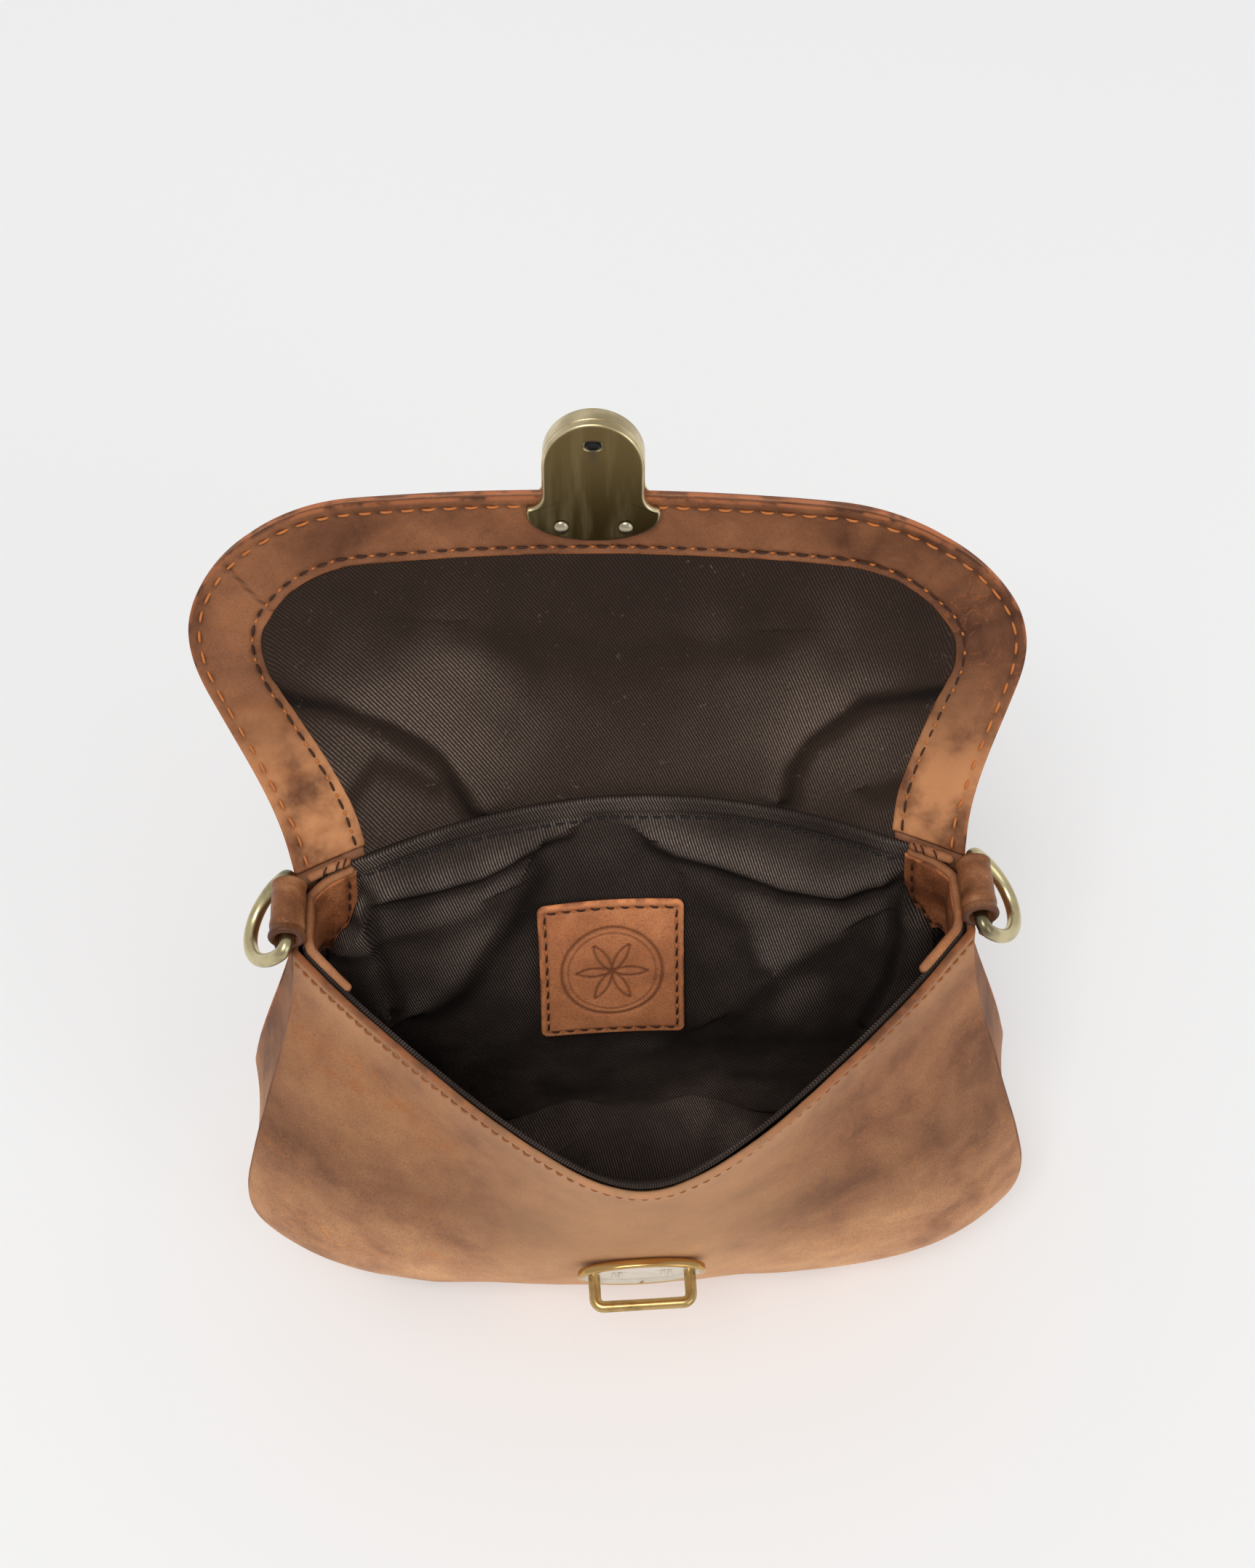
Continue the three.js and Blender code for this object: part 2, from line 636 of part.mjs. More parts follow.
// Ring tab: leather rolled round the ring's bar, with its tail sewn down outside the gusset
function ringTab() {
  const below = (x) => -Math.acos((x - TAB_CENTRE.x) / TAB_RADIUS);
  const [start, end] = [below(TAIL_INNER), below(TAIL_OUTER) - 2 * PI];
  const shape = new THREE.Shape();
  shape.moveTo(TAIL_INNER, TAIL_BOTTOM);
  shape.absarc(TAB_CENTRE.x, TAB_CENTRE.z, TAB_RADIUS, start, end, true);
  shape.lineTo(TAIL_OUTER, TAIL_BOTTOM);
  shape.closePath();
  shape.holes.push(new THREE.Path(oval(TAB_CENTRE.x, TAB_CENTRE.z, BORE, BORE, 16)));
  const tab = new THREE.ExtrudeGeometry(shape, { depth: TAB_LENGTH, bevelEnabled: false, curveSegments: 20 });
  tab.rotateX(PI / 2);
  tab.translate(0, TAB_SHIFT + TAB_LENGTH / 2, 0);
  return tab;
}

// D-shaped ring: a straight bar in the tab, two tight corners and half an ellipse
function ring() {
  const half = TAB_LENGTH / 2 + GAP;
  const outline = new THREE.Path();
  outline.moveTo(-half, 0);
  outline.lineTo(half, 0);
  outline.absarc(half, RING_CORNER, RING_CORNER, -PI / 2, 0);
  outline.absellipse(0, RING_CORNER, half + RING_CORNER, RING_REACH - RING_CORNER, 0, PI);
  outline.absarc(-half, RING_CORNER, RING_CORNER, PI, 1.5 * PI);
  const fineness = [2, 4, 16, 4];
  const centres = outline.curves.filter((curve) => curve.getLength() > 0.01);
  const path = centres.flatMap((curve, i) => curve.getPoints(fineness[i]).slice(0, -1));
  const droop = radians(RING_DROOP);
  const outward = point(cos(droop), 0, -sin(droop));
  const across = point(sin(droop), 0, cos(droop));
  const place = (p) => point(TAB_CENTRE.x, TAB_SHIFT + p.x, TAB_CENTRE.z).addScaledVector(outward, p.y);
  const rings = path.map((p, i) => {
    const before = path.at(i - 1);
    const after = path[(i + 1) % path.length];
    const into = place(p).sub(place(before)).normalize();
    const from = place(after).sub(place(p)).normalize();
    const tangent = into.clone().add(from).normalize();
    const spread = tangent.clone().cross(across).divideScalar(tangent.dot(into));
    return steps(0, 2 * PI, WIRE_SIDES).slice(0, -1).map((angle) =>
      place(p)
        .addScaledVector(spread, RING_WIRE * cos(angle))
        .addScaledVector(across, RING_WIRE * sin(angle)),
    );
  });
  return skin(rings, []);
}

// Frame of the flap's edge: along the leather, and out of the side that shows
function claspFrame() {
  const edge = flapAt(0, FLAP_LENGTH);
  const up = edge.clone().sub(flapAt(0, FLAP_LENGTH - 2)).normalize();
  const side = flapAt(2, FLAP_LENGTH).sub(flapAt(-2, FLAP_LENGTH)).normalize();
  up.addScaledVector(side, -up.dot(side)).normalize();
  const out = side.clone().cross(up);
  return new THREE.Matrix4().makeBasis(side, up, out).setPosition(edge);
}

const CLASP_BACK = -GAP - CLASP_PLATE;
const CLASP_FACE = LEATHER + GAP + FACING + 2 * GAP + CLASP_PLATE;
const RIVET_PLACES = { left: -RIVET_SPACING / 2, right: RIVET_SPACING / 2 };
const RIVET_HEIGHT = -WING_DROP + RIVET_RISE;

// Clasp body: a thick tongue that stands on beyond the flap's edge. It grips the leather
// between two plates, widens there into wings, and has a small blind keyhole.
function claspBody() {
  const shape = new THREE.Shape();
  const shoulder = -WING_SHOULDER;
  const trim = CLASP_BEVEL;
  const wing = WING_HALF_WIDTH - trim;
  const tongue = TONGUE_HALF_WIDTH - trim;
  const roundEnd = TONGUE_LENGTH - TONGUE_HALF_WIDTH;
  shape.moveTo(-wing, shoulder);
  shape.absellipse(0, shoulder, wing, shoulder + WING_DROP - trim, PI, 2 * PI);
  shape.lineTo(wing, WING_RISE - WING_ROUND);
  shape.quadraticCurveTo(wing, WING_RISE, tongue, WING_RISE);
  shape.lineTo(tongue, roundEnd);
  shape.absarc(0, roundEnd, tongue, 0, PI);
  shape.lineTo(-tongue, WING_RISE);
  shape.quadraticCurveTo(-wing, WING_RISE, -wing, WING_RISE - WING_ROUND);
  const body = new THREE.ExtrudeGeometry(shape, {
    depth: CLASP_FACE - CLASP_BACK - 2 * trim,
    bevelThickness: trim,
    bevelSize: trim,
    bevelSegments: 1,
    curveSegments: 12,
  });
  body.translate(0, 0, CLASP_BACK + trim);
  const slotDepth = CLASP_FACE - CLASP_BACK - 2 * CLASP_PLATE;
  const slot = new THREE.BoxGeometry(3 * WING_HALF_WIDTH, 4 * WING_DROP, slotDepth);
  slot.translate(0, GAP - 2 * WING_DROP, CLASP_BACK + CLASP_PLATE + slotDepth / 2);
  const keyhole = new THREE.BoxGeometry(KEYHOLE_WIDTH, KEYHOLE_HEIGHT, 2 * KEYHOLE_DEPTH);
  keyhole.translate(0, TONGUE_LENGTH - KEYHOLE_FROM_TIP, CLASP_FACE);
  const holes = Object.values(RIVET_PLACES).map((x) => {
    const radius = RIVET_SHANK + RIVET_CLEARANCE;
    const hole = new THREE.CylinderGeometry(radius, radius, 3 * CLASP_PLATE, 12);
    return hole.rotateX(PI / 2).translate(x, RIVET_HEIGHT, CLASP_FACE);
  });
  return cut(body, [slot, keyhole, ...holes]).applyMatrix4(claspFrame());
}

// Clasp rivet: a shank through the plate with a low domed head
function claspRivet(x) {
  const profile = [
    [0, -CLASP_PLATE],
    [RIVET_SHANK, -CLASP_PLATE],
    [RIVET_SHANK, RIVET_CLEARANCE],
    [RIVET_HEAD, RIVET_CLEARANCE],
    [RIVET_HEAD * 0.8, RIVET_CLEARANCE + RIVET_HEAD_HEIGHT * 0.7],
    [0, RIVET_CLEARANCE + RIVET_HEAD_HEIGHT],
  ].map(([r, h]) => new THREE.Vector2(r, h));
  const rivet = new THREE.LatheGeometry(profile, 12).rotateX(PI / 2);
  return rivet.translate(x, RIVET_HEIGHT, CLASP_FACE).applyMatrix4(claspFrame());
}

// Frame of the catch on the front panel: across, up the leather, and out of the bag
function catchFrame() {
  const seat = frontAt(0, CATCH_SHARE);
  const out = inward("front", 1, 0, CATCH_SHARE).negate();
  const up = out.clone().cross(point(1, 0, 0)).normalize();
  return new THREE.Matrix4().makeBasis(up.clone().cross(out), up, out).setPosition(seat.addScaledVector(out, GAP));
}

const LOOP_HALF_WIDTH = TONGUE_HALF_WIDTH + TONGUE_CLEARANCE + LOOP_WIRE;

// Catch plate: an oval seat with holes for the loop's legs and two slots
function catchPlate() {
  const shape = new THREE.Shape(oval(0, 0, PLATE_HALF_WIDTH, PLATE_HALF_HEIGHT, 32));
  const plate = new THREE.ExtrudeGeometry(shape, { depth: PLATE_THICKNESS, bevelEnabled: false });
  const through = 4 * PLATE_THICKNESS;
  const hole = LOOP_WIRE + LEG_CLEARANCE;
  const openings = [-1, 1].flatMap((side) => [
    new THREE.CylinderGeometry(hole, hole, through, 12).rotateX(PI / 2).translate(side * LOOP_HALF_WIDTH, 0, 0),
    new THREE.BoxGeometry(SLOT_WIDTH, SLOT_HEIGHT, through).translate((side * SLOT_SPACING) / 2, 0, 0),
  ]);
  return cut(plate, openings).applyMatrix4(catchFrame());
}

// Catch loop: a bail of wire whose legs stand in the plate, for the tongue to pass through
function catchLoop() {
  const [half, reach, bend] = [LOOP_HALF_WIDTH, PLATE_THICKNESS + LOOP_REACH, LOOP_BEND];
  const path = new THREE.CurvePath();
  const corner = (side) => [
    point(side * half, 0, reach - bend),
    point(side * half, 0, reach),
    point(side * (half - bend), 0, reach),
  ];
  path.add(new THREE.LineCurve3(point(-half, 0, 0), point(-half, 0, reach - bend)));
  path.add(new THREE.QuadraticBezierCurve3(...corner(-1)));
  path.add(new THREE.LineCurve3(point(bend - half, 0, reach), point(half - bend, 0, reach)));
  path.add(new THREE.QuadraticBezierCurve3(...corner(1).reverse()));
  path.add(new THREE.LineCurve3(point(half, 0, reach - bend), point(half, 0, 0)));
  const section = new THREE.Shape(oval(0, 0, LOOP_WIRE, LOOP_WIRE, WIRE_SIDES));
  const loop = new THREE.ExtrudeGeometry(section, { steps: 40, extrudePath: path });
  return loop.applyMatrix4(catchFrame());
}

const HIDE = { color: 0xa5734f, roughness: 0.75, metalness: 0 };
const WARM_HIDE = { color: 0xa86540, roughness: 0.7, metalness: 0 };
const TWILL = { color: 0x3a302b, roughness: 0.9, metalness: 0 };
const PALE_BRASS = { color: 0xb5a878, roughness: 0.35, metalness: 1 };
const DARK_BRASS = { color: 0x6f6038, roughness: 0.4, metalness: 1 };
const STEEL = { color: 0xd8d8d4, roughness: 0.3, metalness: 1 };

const bag = new THREE.Group();

function add(name, geometry, finish) {
  const mesh = new THREE.Mesh(geometry, new THREE.MeshStandardMaterial(finish));
  mesh.name = name;
  bag.add(mesh);
}

add("front_panel", frontPanel(), HIDE);
add("back_flap", backFlap(), HIDE);
add("gusset", gusset(), HIDE);
add("lining", lining(), TWILL);
add("flap_lining", flapLining(), TWILL);
add("flap_facing", flapFacing(), WARM_HIDE);
add("corner_facing_left", cornerFacing(-1), WARM_HIDE);
add("corner_facing_right", cornerFacing(1), WARM_HIDE);
add("inner_patch", innerPatch(), WARM_HIDE);
add("ring_tab_right", ringTab(), HIDE);
add("ring_tab_left", mirrored(ringTab()), HIDE);
add("ring_right", ring(), PALE_BRASS);
add("ring_left", mirrored(ring()), PALE_BRASS);
add("clasp_body", claspBody(), DARK_BRASS);
add("clasp_rivet_left", claspRivet(RIVET_PLACES.left), STEEL);
add("clasp_rivet_right", claspRivet(RIVET_PLACES.right), STEEL);
add("catch_plate", catchPlate(), STEEL);
add("catch_loop", catchLoop(), PALE_BRASS);

export default bag;
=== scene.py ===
# %% [markdown]
# This lesson dresses a small leather shoulder bag that stands on its base with its flap thrown
# back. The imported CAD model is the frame: it gives the sizes, the bodies that move and the
# solids that stand for each piece. Here every piece is made again, finer, from the same
# formulas, and gets its leather, cloth or metal. All lengths are in millimetres until a mesh
# is filled.

import bpy
import numpy as np
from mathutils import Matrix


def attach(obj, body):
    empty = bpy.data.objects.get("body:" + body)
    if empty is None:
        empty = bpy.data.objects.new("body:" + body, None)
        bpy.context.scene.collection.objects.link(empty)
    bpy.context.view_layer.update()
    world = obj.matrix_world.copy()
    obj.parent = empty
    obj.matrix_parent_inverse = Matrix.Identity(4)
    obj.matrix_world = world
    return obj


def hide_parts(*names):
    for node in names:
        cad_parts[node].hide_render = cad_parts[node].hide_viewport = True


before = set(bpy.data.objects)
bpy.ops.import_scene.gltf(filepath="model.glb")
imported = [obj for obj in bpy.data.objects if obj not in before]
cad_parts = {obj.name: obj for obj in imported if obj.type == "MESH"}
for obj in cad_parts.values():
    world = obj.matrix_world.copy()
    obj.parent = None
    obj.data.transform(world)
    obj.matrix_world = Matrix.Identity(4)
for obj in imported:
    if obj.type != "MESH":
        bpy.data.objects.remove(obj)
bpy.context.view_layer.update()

MM = 0.001
# Each side of the bag: its sign of x, and its word in the names of pieces
SIDES = ((1, "right"), (-1, "left"))

# %% [markdown]
# The bag is cut from three sheets: a front panel, a gusset that makes both sides and the base,
# and a back that carries on over the mouth as the flap. A sheet of leather like this could be
# draped by simulation, but its creased, stiff shape is easier to hold with formulas. The
# sizes below are the ones the solids were made with, so the fine sheets lie where they lie.

# %% Sizes of the leather
LEATHER = 2
SIDE_HEIGHT = 152
BASE_HALF_WIDTH = 62
BODY_HALF_WIDTH = 117
MOUTH_HALF_WIDTH = 88
CORNER_RADIUS = 50
BASE_FRONT = 31
BASE_BACK = 18
MOUTH_HALF_DEPTH = 10.5
FRONT_BELLY = 16.5
BACK_BELLY = 6
SIDE_FOLD = 3
MOUTH_PULL = 60
MOUTH_DROP = 17
BACK_PULL = 27
BACK_DROP = 2
FLAP_LENGTH = 86
FLAP_HALF_WIDTH = 111
FLAP_END_HALF = 62
FLAP_CORNER = 44
FLAP_SWAY = 7
FLAP_TURN = 3
FLAP_FLATTENING = 0.66
FACING_WIDTH = 17.5

# Lean of the open flap from upright, in degrees, at shares of its length
FLAP_LEAN = [(0, 18), (0.1, 42), (0.4, 40), (0.75, 22), (1, 14)]

# Broad dents in the front panel: across, up and radius as shares, and depth
FRONT_DENTS = [
    (-0.55, 0.52, 0.2, 2.2),
    (0.62, 0.45, 0.22, 2.6),
    (0.2, 0.3, 0.16, 1.2),
    (-0.8, 0.78, 0.12, 1.4),
]

# %% Small helpers for curves
def ease(share):
    """Slow, quick, slow: share squared times (3 - 2 share), held between 0 and 1."""
    t = np.clip(share, 0, 1)
    return t * t * (3 - 2 * t)


def mix(a, b, share):
    """A straight blend: a where share is 0 and b where it is 1."""
    return a + (b - a) * share


def from_table(rows, value):
    """Reads (place, amount) rows, with an eased step from each row to the next."""
    place, amount = np.array(rows, float).T
    low = np.clip(np.searchsorted(place, value) - 1, 0, len(place) - 2)
    share = ease((value - place[low]) / (place[low + 1] - place[low]))
    return mix(amount[low], amount[low + 1], share)


def points(x, y, z):
    """Joins three arrays of coordinates, spread to one shape, into an array of points."""
    return np.stack(np.broadcast_arrays(x, y, z), axis=-1).astype(float)


def unit(vectors):
    """Each vector divided by its own length."""
    return vectors / np.maximum(np.linalg.norm(vectors, axis=-1, keepdims=True), 1e-9)


def bell(distance, width):
    """A bell curve: 1 at no distance, falling off over the width."""
    return np.exp(-((distance / width) ** 2))


def rimmed(low, high, count, rim, fine=5):
    """Steps from low to high: even inside, and closer and closer over a rim at both ends."""
    turn = np.linspace(0, np.pi / 2, fine + 1)[:-1]
    edge = rim * (1 - np.cos(turn))
    return np.concatenate([low + edge, np.linspace(low + rim, high - rim, count), (high - edge)[::-1]])


def cloud(place, size, seed):
    """Soft random hills: random heights on a lattice of the given size, eased in between."""
    lattice = np.random.default_rng(seed).uniform(-1, 1, (16, 16, 16))
    cell = place / size
    low = np.floor(cell).astype(int)
    share = ease(cell - low)
    total = np.zeros(place.shape[:-1])
    for corner in np.ndindex(2, 2, 2):
        weight = np.prod(np.where(corner, share, 1 - share), axis=-1)
        total += weight * lattice[tuple(np.moveaxis((low + corner) % 16, -1, 0))]
    return total


def hills(place, *layers):
    """The sum of several clouds: for each layer its height, its size and its seed."""
    return sum(height * cloud(place, size, seed) for height, size, seed in layers)


def arc(path):
    """Length walked along a path of points, from its first one."""
    return np.concatenate([[0], np.cumsum(np.linalg.norm(np.diff(path, axis=0), axis=-1))])


# %% [markdown]
# A soft bag has no flat faces. Its outline is a rounded trapezium; the front swells between
# the seams like a pillow and its free edge is pulled forward in a rounded V. Each wall is a
# function of two shares: s across, from -1 to 1, and t up, from 0 to 1. Modelling it by hand
# or inflating a cloth would also work, but with formulas the lining, the patch and the seams
# can find the same surface again at another depth.

# %% Walls of the body
def swelling(t, at_top):
    """A quarter round near the base, then an eased fall to the share that is left at the top."""
    full = 0.3
    quarter_round = np.sqrt(1 - (1 - np.minimum(t / full, 1)) ** 2)
    return quarter_round * (1 - (1 - at_top) * ease((t - full) / (1 - full)))


def rounded_v(s):
    """A V across the bag with a rounded tip: 1 in the middle and 0 at both seams."""
    tip = 0.28
    high = np.sqrt(1 + tip * tip)
    return (high - np.sqrt(s * s + tip * tip)) / (high - tip)


def half_width(z):
    """An eased taper to the mouth, blended into the base by a quarter round at the corner."""
    taper = mix(BODY_HALF_WIDTH, MOUTH_HALF_WIDTH, ease((z / SIDE_HEIGHT - 0.1) / 0.95))
    quarter_round = np.sqrt(1 - (1 - np.clip(z / CORNER_RADIUS, 0, 1)) ** 2)
    return mix(BASE_HALF_WIDTH, taper, quarter_round)


def front_depth(z):
    """How far the front seam stands before the middle: an eased fall from base to mouth."""
    return mix(BASE_FRONT, MOUTH_HALF_DEPTH, ease(z / SIDE_HEIGHT))


def back_depth(z):
    """How far the back seam stands behind the middle: an eased fall from base to mouth."""
    return mix(BASE_BACK, MOUTH_HALF_DEPTH, ease(z / SIDE_HEIGHT))


def pillow(s):
    """The root of 1 less the sixth power of s: level inside, and round at both seams."""
    return np.sqrt(np.maximum(1 - np.abs(s) ** 6, 0))


def dents(s, t):
    """The sum of a bell for each broad dent in the front panel."""
    return sum(deep * bell(np.hypot(s - x, t - z), r) for x, z, r, deep in FRONT_DENTS)


def front_at(s, t):
    """Front panel: seam depth, plus a pillow, plus the forward pull of the mouth."""
    z = t * SIDE_HEIGHT
    swell = FRONT_BELLY * swelling(t, 0.25) * pillow(s) - dents(s, t) * (1 - s * s)
    pull = MOUTH_PULL * rounded_v(s) * t**1.15
    drop = MOUTH_DROP * rounded_v(s) * t * t
    return points(s * half_width(z), -front_depth(z) - swell * pillow(s) - pull, z - drop)


def back_at(s, t):
    """Back wall: seam depth, plus a low pillow, plus an arch that leans out to the hinge."""
    z = t * SIDE_HEIGHT
    arch = 1 - s * s
    y = back_depth(z) + BACK_BELLY * swelling(t, 0) * pillow(s) + BACK_PULL * arch * t**1.5
    return points(s * half_width(z), y, z - BACK_DROP * arch * t * t)


def side_at(side, q, t):
    """Gusset: the outline at that height, folded in a little, from front seam to back seam."""
    z = t * SIDE_HEIGHT
    fold = SIDE_FOLD * 4 * q * (1 - q) * np.sin(np.pi * t)
    return points(side * (half_width(z) - fold), mix(-front_depth(z), back_depth(z), q), z)


# %% [markdown]
# The flap is the same leather as the back. Its centre line is drawn by walking along it and
# adding up small steps at the lean read from the table, as a tailor's curve would be. The
# width of the flap at each length, and its bowed hinge, come from two more formulas.

# %% The open flap
FLAP_STEP = 0.25
flap_lengths = np.arange(-8, FLAP_LENGTH + 8, FLAP_STEP)
flap_leans = np.radians(from_table(FLAP_LEAN, np.clip((flap_lengths + FLAP_STEP / 2) / FLAP_LENGTH, 0, 1)))
flap_back = np.cumsum(np.sin(flap_leans)) * FLAP_STEP
flap_up = np.cumsum(np.cos(flap_leans)) * FLAP_STEP
flap_back = flap_back - np.interp(-FLAP_STEP, flap_lengths, flap_back)
flap_up = flap_up - np.interp(-FLAP_STEP, flap_lengths, flap_up)
print("flap reaches back", round(float(flap_back.max()), 1), "and up", round(float(flap_up.max()), 1))


def flap_at(x, l):
    """Flap: the walked centre line, less a bow across that flattens out towards the end."""
    back = np.interp(l - FLAP_STEP, flap_lengths, flap_back)
    up = np.interp(l - FLAP_STEP, flap_lengths, flap_up)
    share = l / FLAP_LENGTH
    across = np.abs(x) / MOUTH_HALF_WIDTH
    bow = np.where(across > 1, across, across * across)
    kept = 1 - FLAP_FLATTENING * np.sin(np.clip(share, 0, 1) * np.pi / 2)
    turned = FLAP_TURN * share * x / FLAP_END_HALF
    y = MOUTH_HALF_DEPTH + BACK_PULL + back - BACK_PULL * bow * kept - turned
    return points(x - FLAP_SWAY * share, y, SIDE_HEIGHT - BACK_DROP + up + BACK_DROP * bow)


def flap_outline(v, inset):
    """Length and half width at v: flared sides, then quarter ellipses round the corners."""
    corner = FLAP_CORNER - inset
    straight = FLAP_LENGTH - inset - corner
    turn = np.clip(2 * v - 1, 0, 1) * np.pi / 2
    l = np.where(v < 0.5, 2 * v * straight, straight + corner * np.sin(turn))
    flare = ease(l / (FLAP_LENGTH - 0.5 * FLAP_CORNER))
    side = mix(MOUTH_HALF_WIDTH, FLAP_HALF_WIDTH, flare) - inset
    return l, mix(FLAP_END_HALF, side, np.cos(turn))


def flap_face(x, l):
    """Unit direction out of the flap's shown side: the cross product of two small steps."""
    step = 0.5
    across = flap_at(x + step, l) - flap_at(x - step, l)
    along = flap_at(x, l + step) - flap_at(x, l - step)
    return unit(np.cross(across, along))


def flap_point(x, l, depth):
    """A point at a depth below the flap's outer surface, towards the side that shows."""
    return flap_at(x, l) + flap_face(x, l) * np.asarray(depth)[..., None]


# %% [markdown]
# Leather is a sheet with a rounded, burnished edge. In Blender a Solidify and a Bevel modifier
# would give it that, but here the two faces share one border, and the half thickness grows
# from nothing along a quarter round, so that the edge is closed and soft from the start. The
# helpers below turn such grids into meshes. Each piece keeps its place in its vertices and its
# object at the origin, as the frame does.

# %% Meshes from grids
made = {}


def volume(vertices, faces):
    """Signed volume of a closed skin: a sixth of each corner's triple product, added up."""
    total = 0
    for face in faces:
        for k in range(1, face.shape[1] - 1):
            a, b, c = (vertices[face[:, i]] for i in (0, k, k + 1))
            total += np.einsum("ij,ij->", a, np.cross(b, c)) / 6
    return total


def put_mesh(name, vertices, faces, marks=None, body="bag", node=None):
    """Fills a mesh with points in millimetres and lists of faces, and lets it ride on a body."""
    centre = vertices.mean(axis=0)
    if volume(vertices - centre, faces) < 0:
        faces = [face[:, ::-1] for face in faces]
    corners = np.concatenate([face.ravel() for face in faces]).astype(np.int32)
    sizes = np.concatenate([np.full(len(face), face.shape[1]) for face in faces])
    mesh = bpy.data.meshes.new(name)
    mesh.vertices.add(len(vertices))
    mesh.vertices.foreach_set("co", (vertices * MM).astype(np.float32).ravel())
    mesh.loops.add(len(corners))
    mesh.loops.foreach_set("vertex_index", corners)
    mesh.polygons.add(len(sizes))
    starts = np.concatenate([[0], np.cumsum(sizes)[:-1]]).astype(np.int32)
    mesh.polygons.foreach_set("loop_start", starts)
    mesh.update(calc_edges=True)
    mesh.shade_smooth()
    for mark, values in (marks or {}).items():
        layer = mesh.attributes.new(mark, "FLOAT_VECTOR", "POINT")
        layer.data.foreach_set("vector", values.astype(np.float32).ravel())
    piece = bpy.data.objects.new(name, mesh)
    bpy.context.collection.objects.link(piece)
    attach(piece, body)
    if node:
        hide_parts(node)
    made[name] = piece
    triangles = int((sizes - 2).sum())
    print(name, triangles, "triangles")
    return piece


def quads(index):
    """Four-cornered faces between the neighbours of a grid of vertex numbers."""
    a, b = index[:-1, :-1], index[:-1, 1:]
    c, d = index[1:, 1:], index[1:, :-1]
    return np.stack([a, b, c, d], axis=-1).reshape(-1, 4)


def grid_normals(grid):
    """Unit normals of a grid: the cross product of its steps across and its steps along."""
    return unit(np.cross(np.gradient(grid, axis=1), np.gradient(grid, axis=0)))


def edge_distance(grid):
    """Distance of each point from the nearest of the four borders, walked on the grid."""

    def walked(axis):
        step = np.linalg.norm(np.diff(grid, axis=axis), axis=-1)
        start = np.zeros_like(np.take(step, [0], axis=axis))
        return np.concatenate([start, np.cumsum(step, axis=axis)], axis=axis)

    across, along = walked(1), walked(0)
    ends = [across, across[:, -1:] - across, along, along[-1:] - along]
    return np.min(ends, axis=0)


def closed_sheet(grid, into, thickness, soft=0.9, relief=0, shown="outer", **marks):
    """Two faces that share a border. Their half thickness is the root of 1 less the square
    of the share still missing within the soft edge, and the shown face takes the relief.
    Gives the vertices, the faces and the marks, with a mark for the edge beside the others."""
    away = edge_distance(grid)
    k = np.sqrt(1 - (1 - np.minimum(away / soft, 1)) ** 2)[..., None]
    lift = np.asarray(relief * np.ones(away.shape))[..., None] * k
    sign = {"outer": (-1, 0), "inner": (0, 1)}[shown]
    outer = grid + into * (thickness / 2 * (1 - k) + sign[0] * lift)
    inner = grid + into * (thickness / 2 * (1 + k) + sign[1] * lift)
    rows, columns = away.shape
    top = np.arange(rows * columns).reshape(rows, columns)
    low = top.copy()
    low[1:-1, 1:-1] = rows * columns + np.arange((rows - 2) * (columns - 2)).reshape(rows - 2, columns - 2)
    vertices = np.concatenate([outer.reshape(-1, 3), inner[1:-1, 1:-1].reshape(-1, 3)])

    def both(values):
        """The same mark on both faces, in the order of the vertices."""
        return np.concatenate([values.reshape(-1, 3), values[1:-1, 1:-1].reshape(-1, 3)])

    rim = np.clip(1 - away / (1.15 * soft), 0, 1)
    marks = {"edge": points(rim, 0, 0), **marks}
    faces = [quads(top), quads(low)[:, ::-1]]
    return vertices, faces, {mark: both(values) for mark, values in marks.items()}


# %% [markdown]
# The front panel is the piece that the eye meets first. Its leather is creased by use and
# drawn into small puckers between the stitches along the mouth, so the grid is pushed out and
# in by soft random hills and by a wave that follows the seam. Sculpting would do the same by
# hand; the hills repeat exactly each time the script runs.

# %% Front panel
MOUTH_SEAM = 3.6
MOUTH_PITCH = 3.2
front_s = np.sin(np.linspace(-1, 1, 221) * np.pi / 2)
front_t = rimmed(0, 1, 132, 0.009)
front_grid = front_at(front_s[None, :], front_t[:, None])


def front_share_below(s, below):
    """Height share at a distance below the mouth, from the length of the last part of the wall."""
    last_part = 0.04
    reach = np.linalg.norm(front_at(s, np.float64(1)) - front_at(s, np.float64(1 - last_part)), axis=-1)
    return 1 - below * last_part / reach


mouth_path = front_at(front_s, front_share_below(front_s, MOUTH_SEAM))
mouth_arc = arc(mouth_path)
print("mouth seam is", round(mouth_arc[-1]), "mm long")

below_mouth = (1 - front_t[:, None]) / (1 - front_share_below(front_s, 1.0)[None, :])
pucker = np.cos(2 * np.pi * mouth_arc / MOUTH_PITCH)[None, :] * bell(below_mouth - MOUTH_SEAM, 2.2)
groove = bell(below_mouth - MOUTH_SEAM, 0.8)
front_into = -grid_normals(front_grid)
creases = (
    0.55 * cloud(front_grid, 34, 3)
    + 0.32 * cloud(front_grid * [1, 1, 1.6], 15, 4)
    + 0.1 * cloud(front_grid, 6, 5)
)
front_out = creases + 0.05 * pucker - 0.2 * groove
front_grid = front_grid - front_into * (front_out * (1 - np.abs(front_s[None, :]) ** 12))[..., None]
# Painted shade along the groove of the mouth's seam, darker between the stitches
seam_shade = groove * (0.62 + 0.2 * np.cos(2 * np.pi * (mouth_arc / MOUTH_PITCH + 0.5)))[None, :]
front_seam = points(seam_shade, below_mouth / 100, 0)
front_sheet = closed_sheet(front_grid, front_into, LEATHER, seam=front_seam)
put_mesh("front_leather", *front_sheet, node="front_panel")

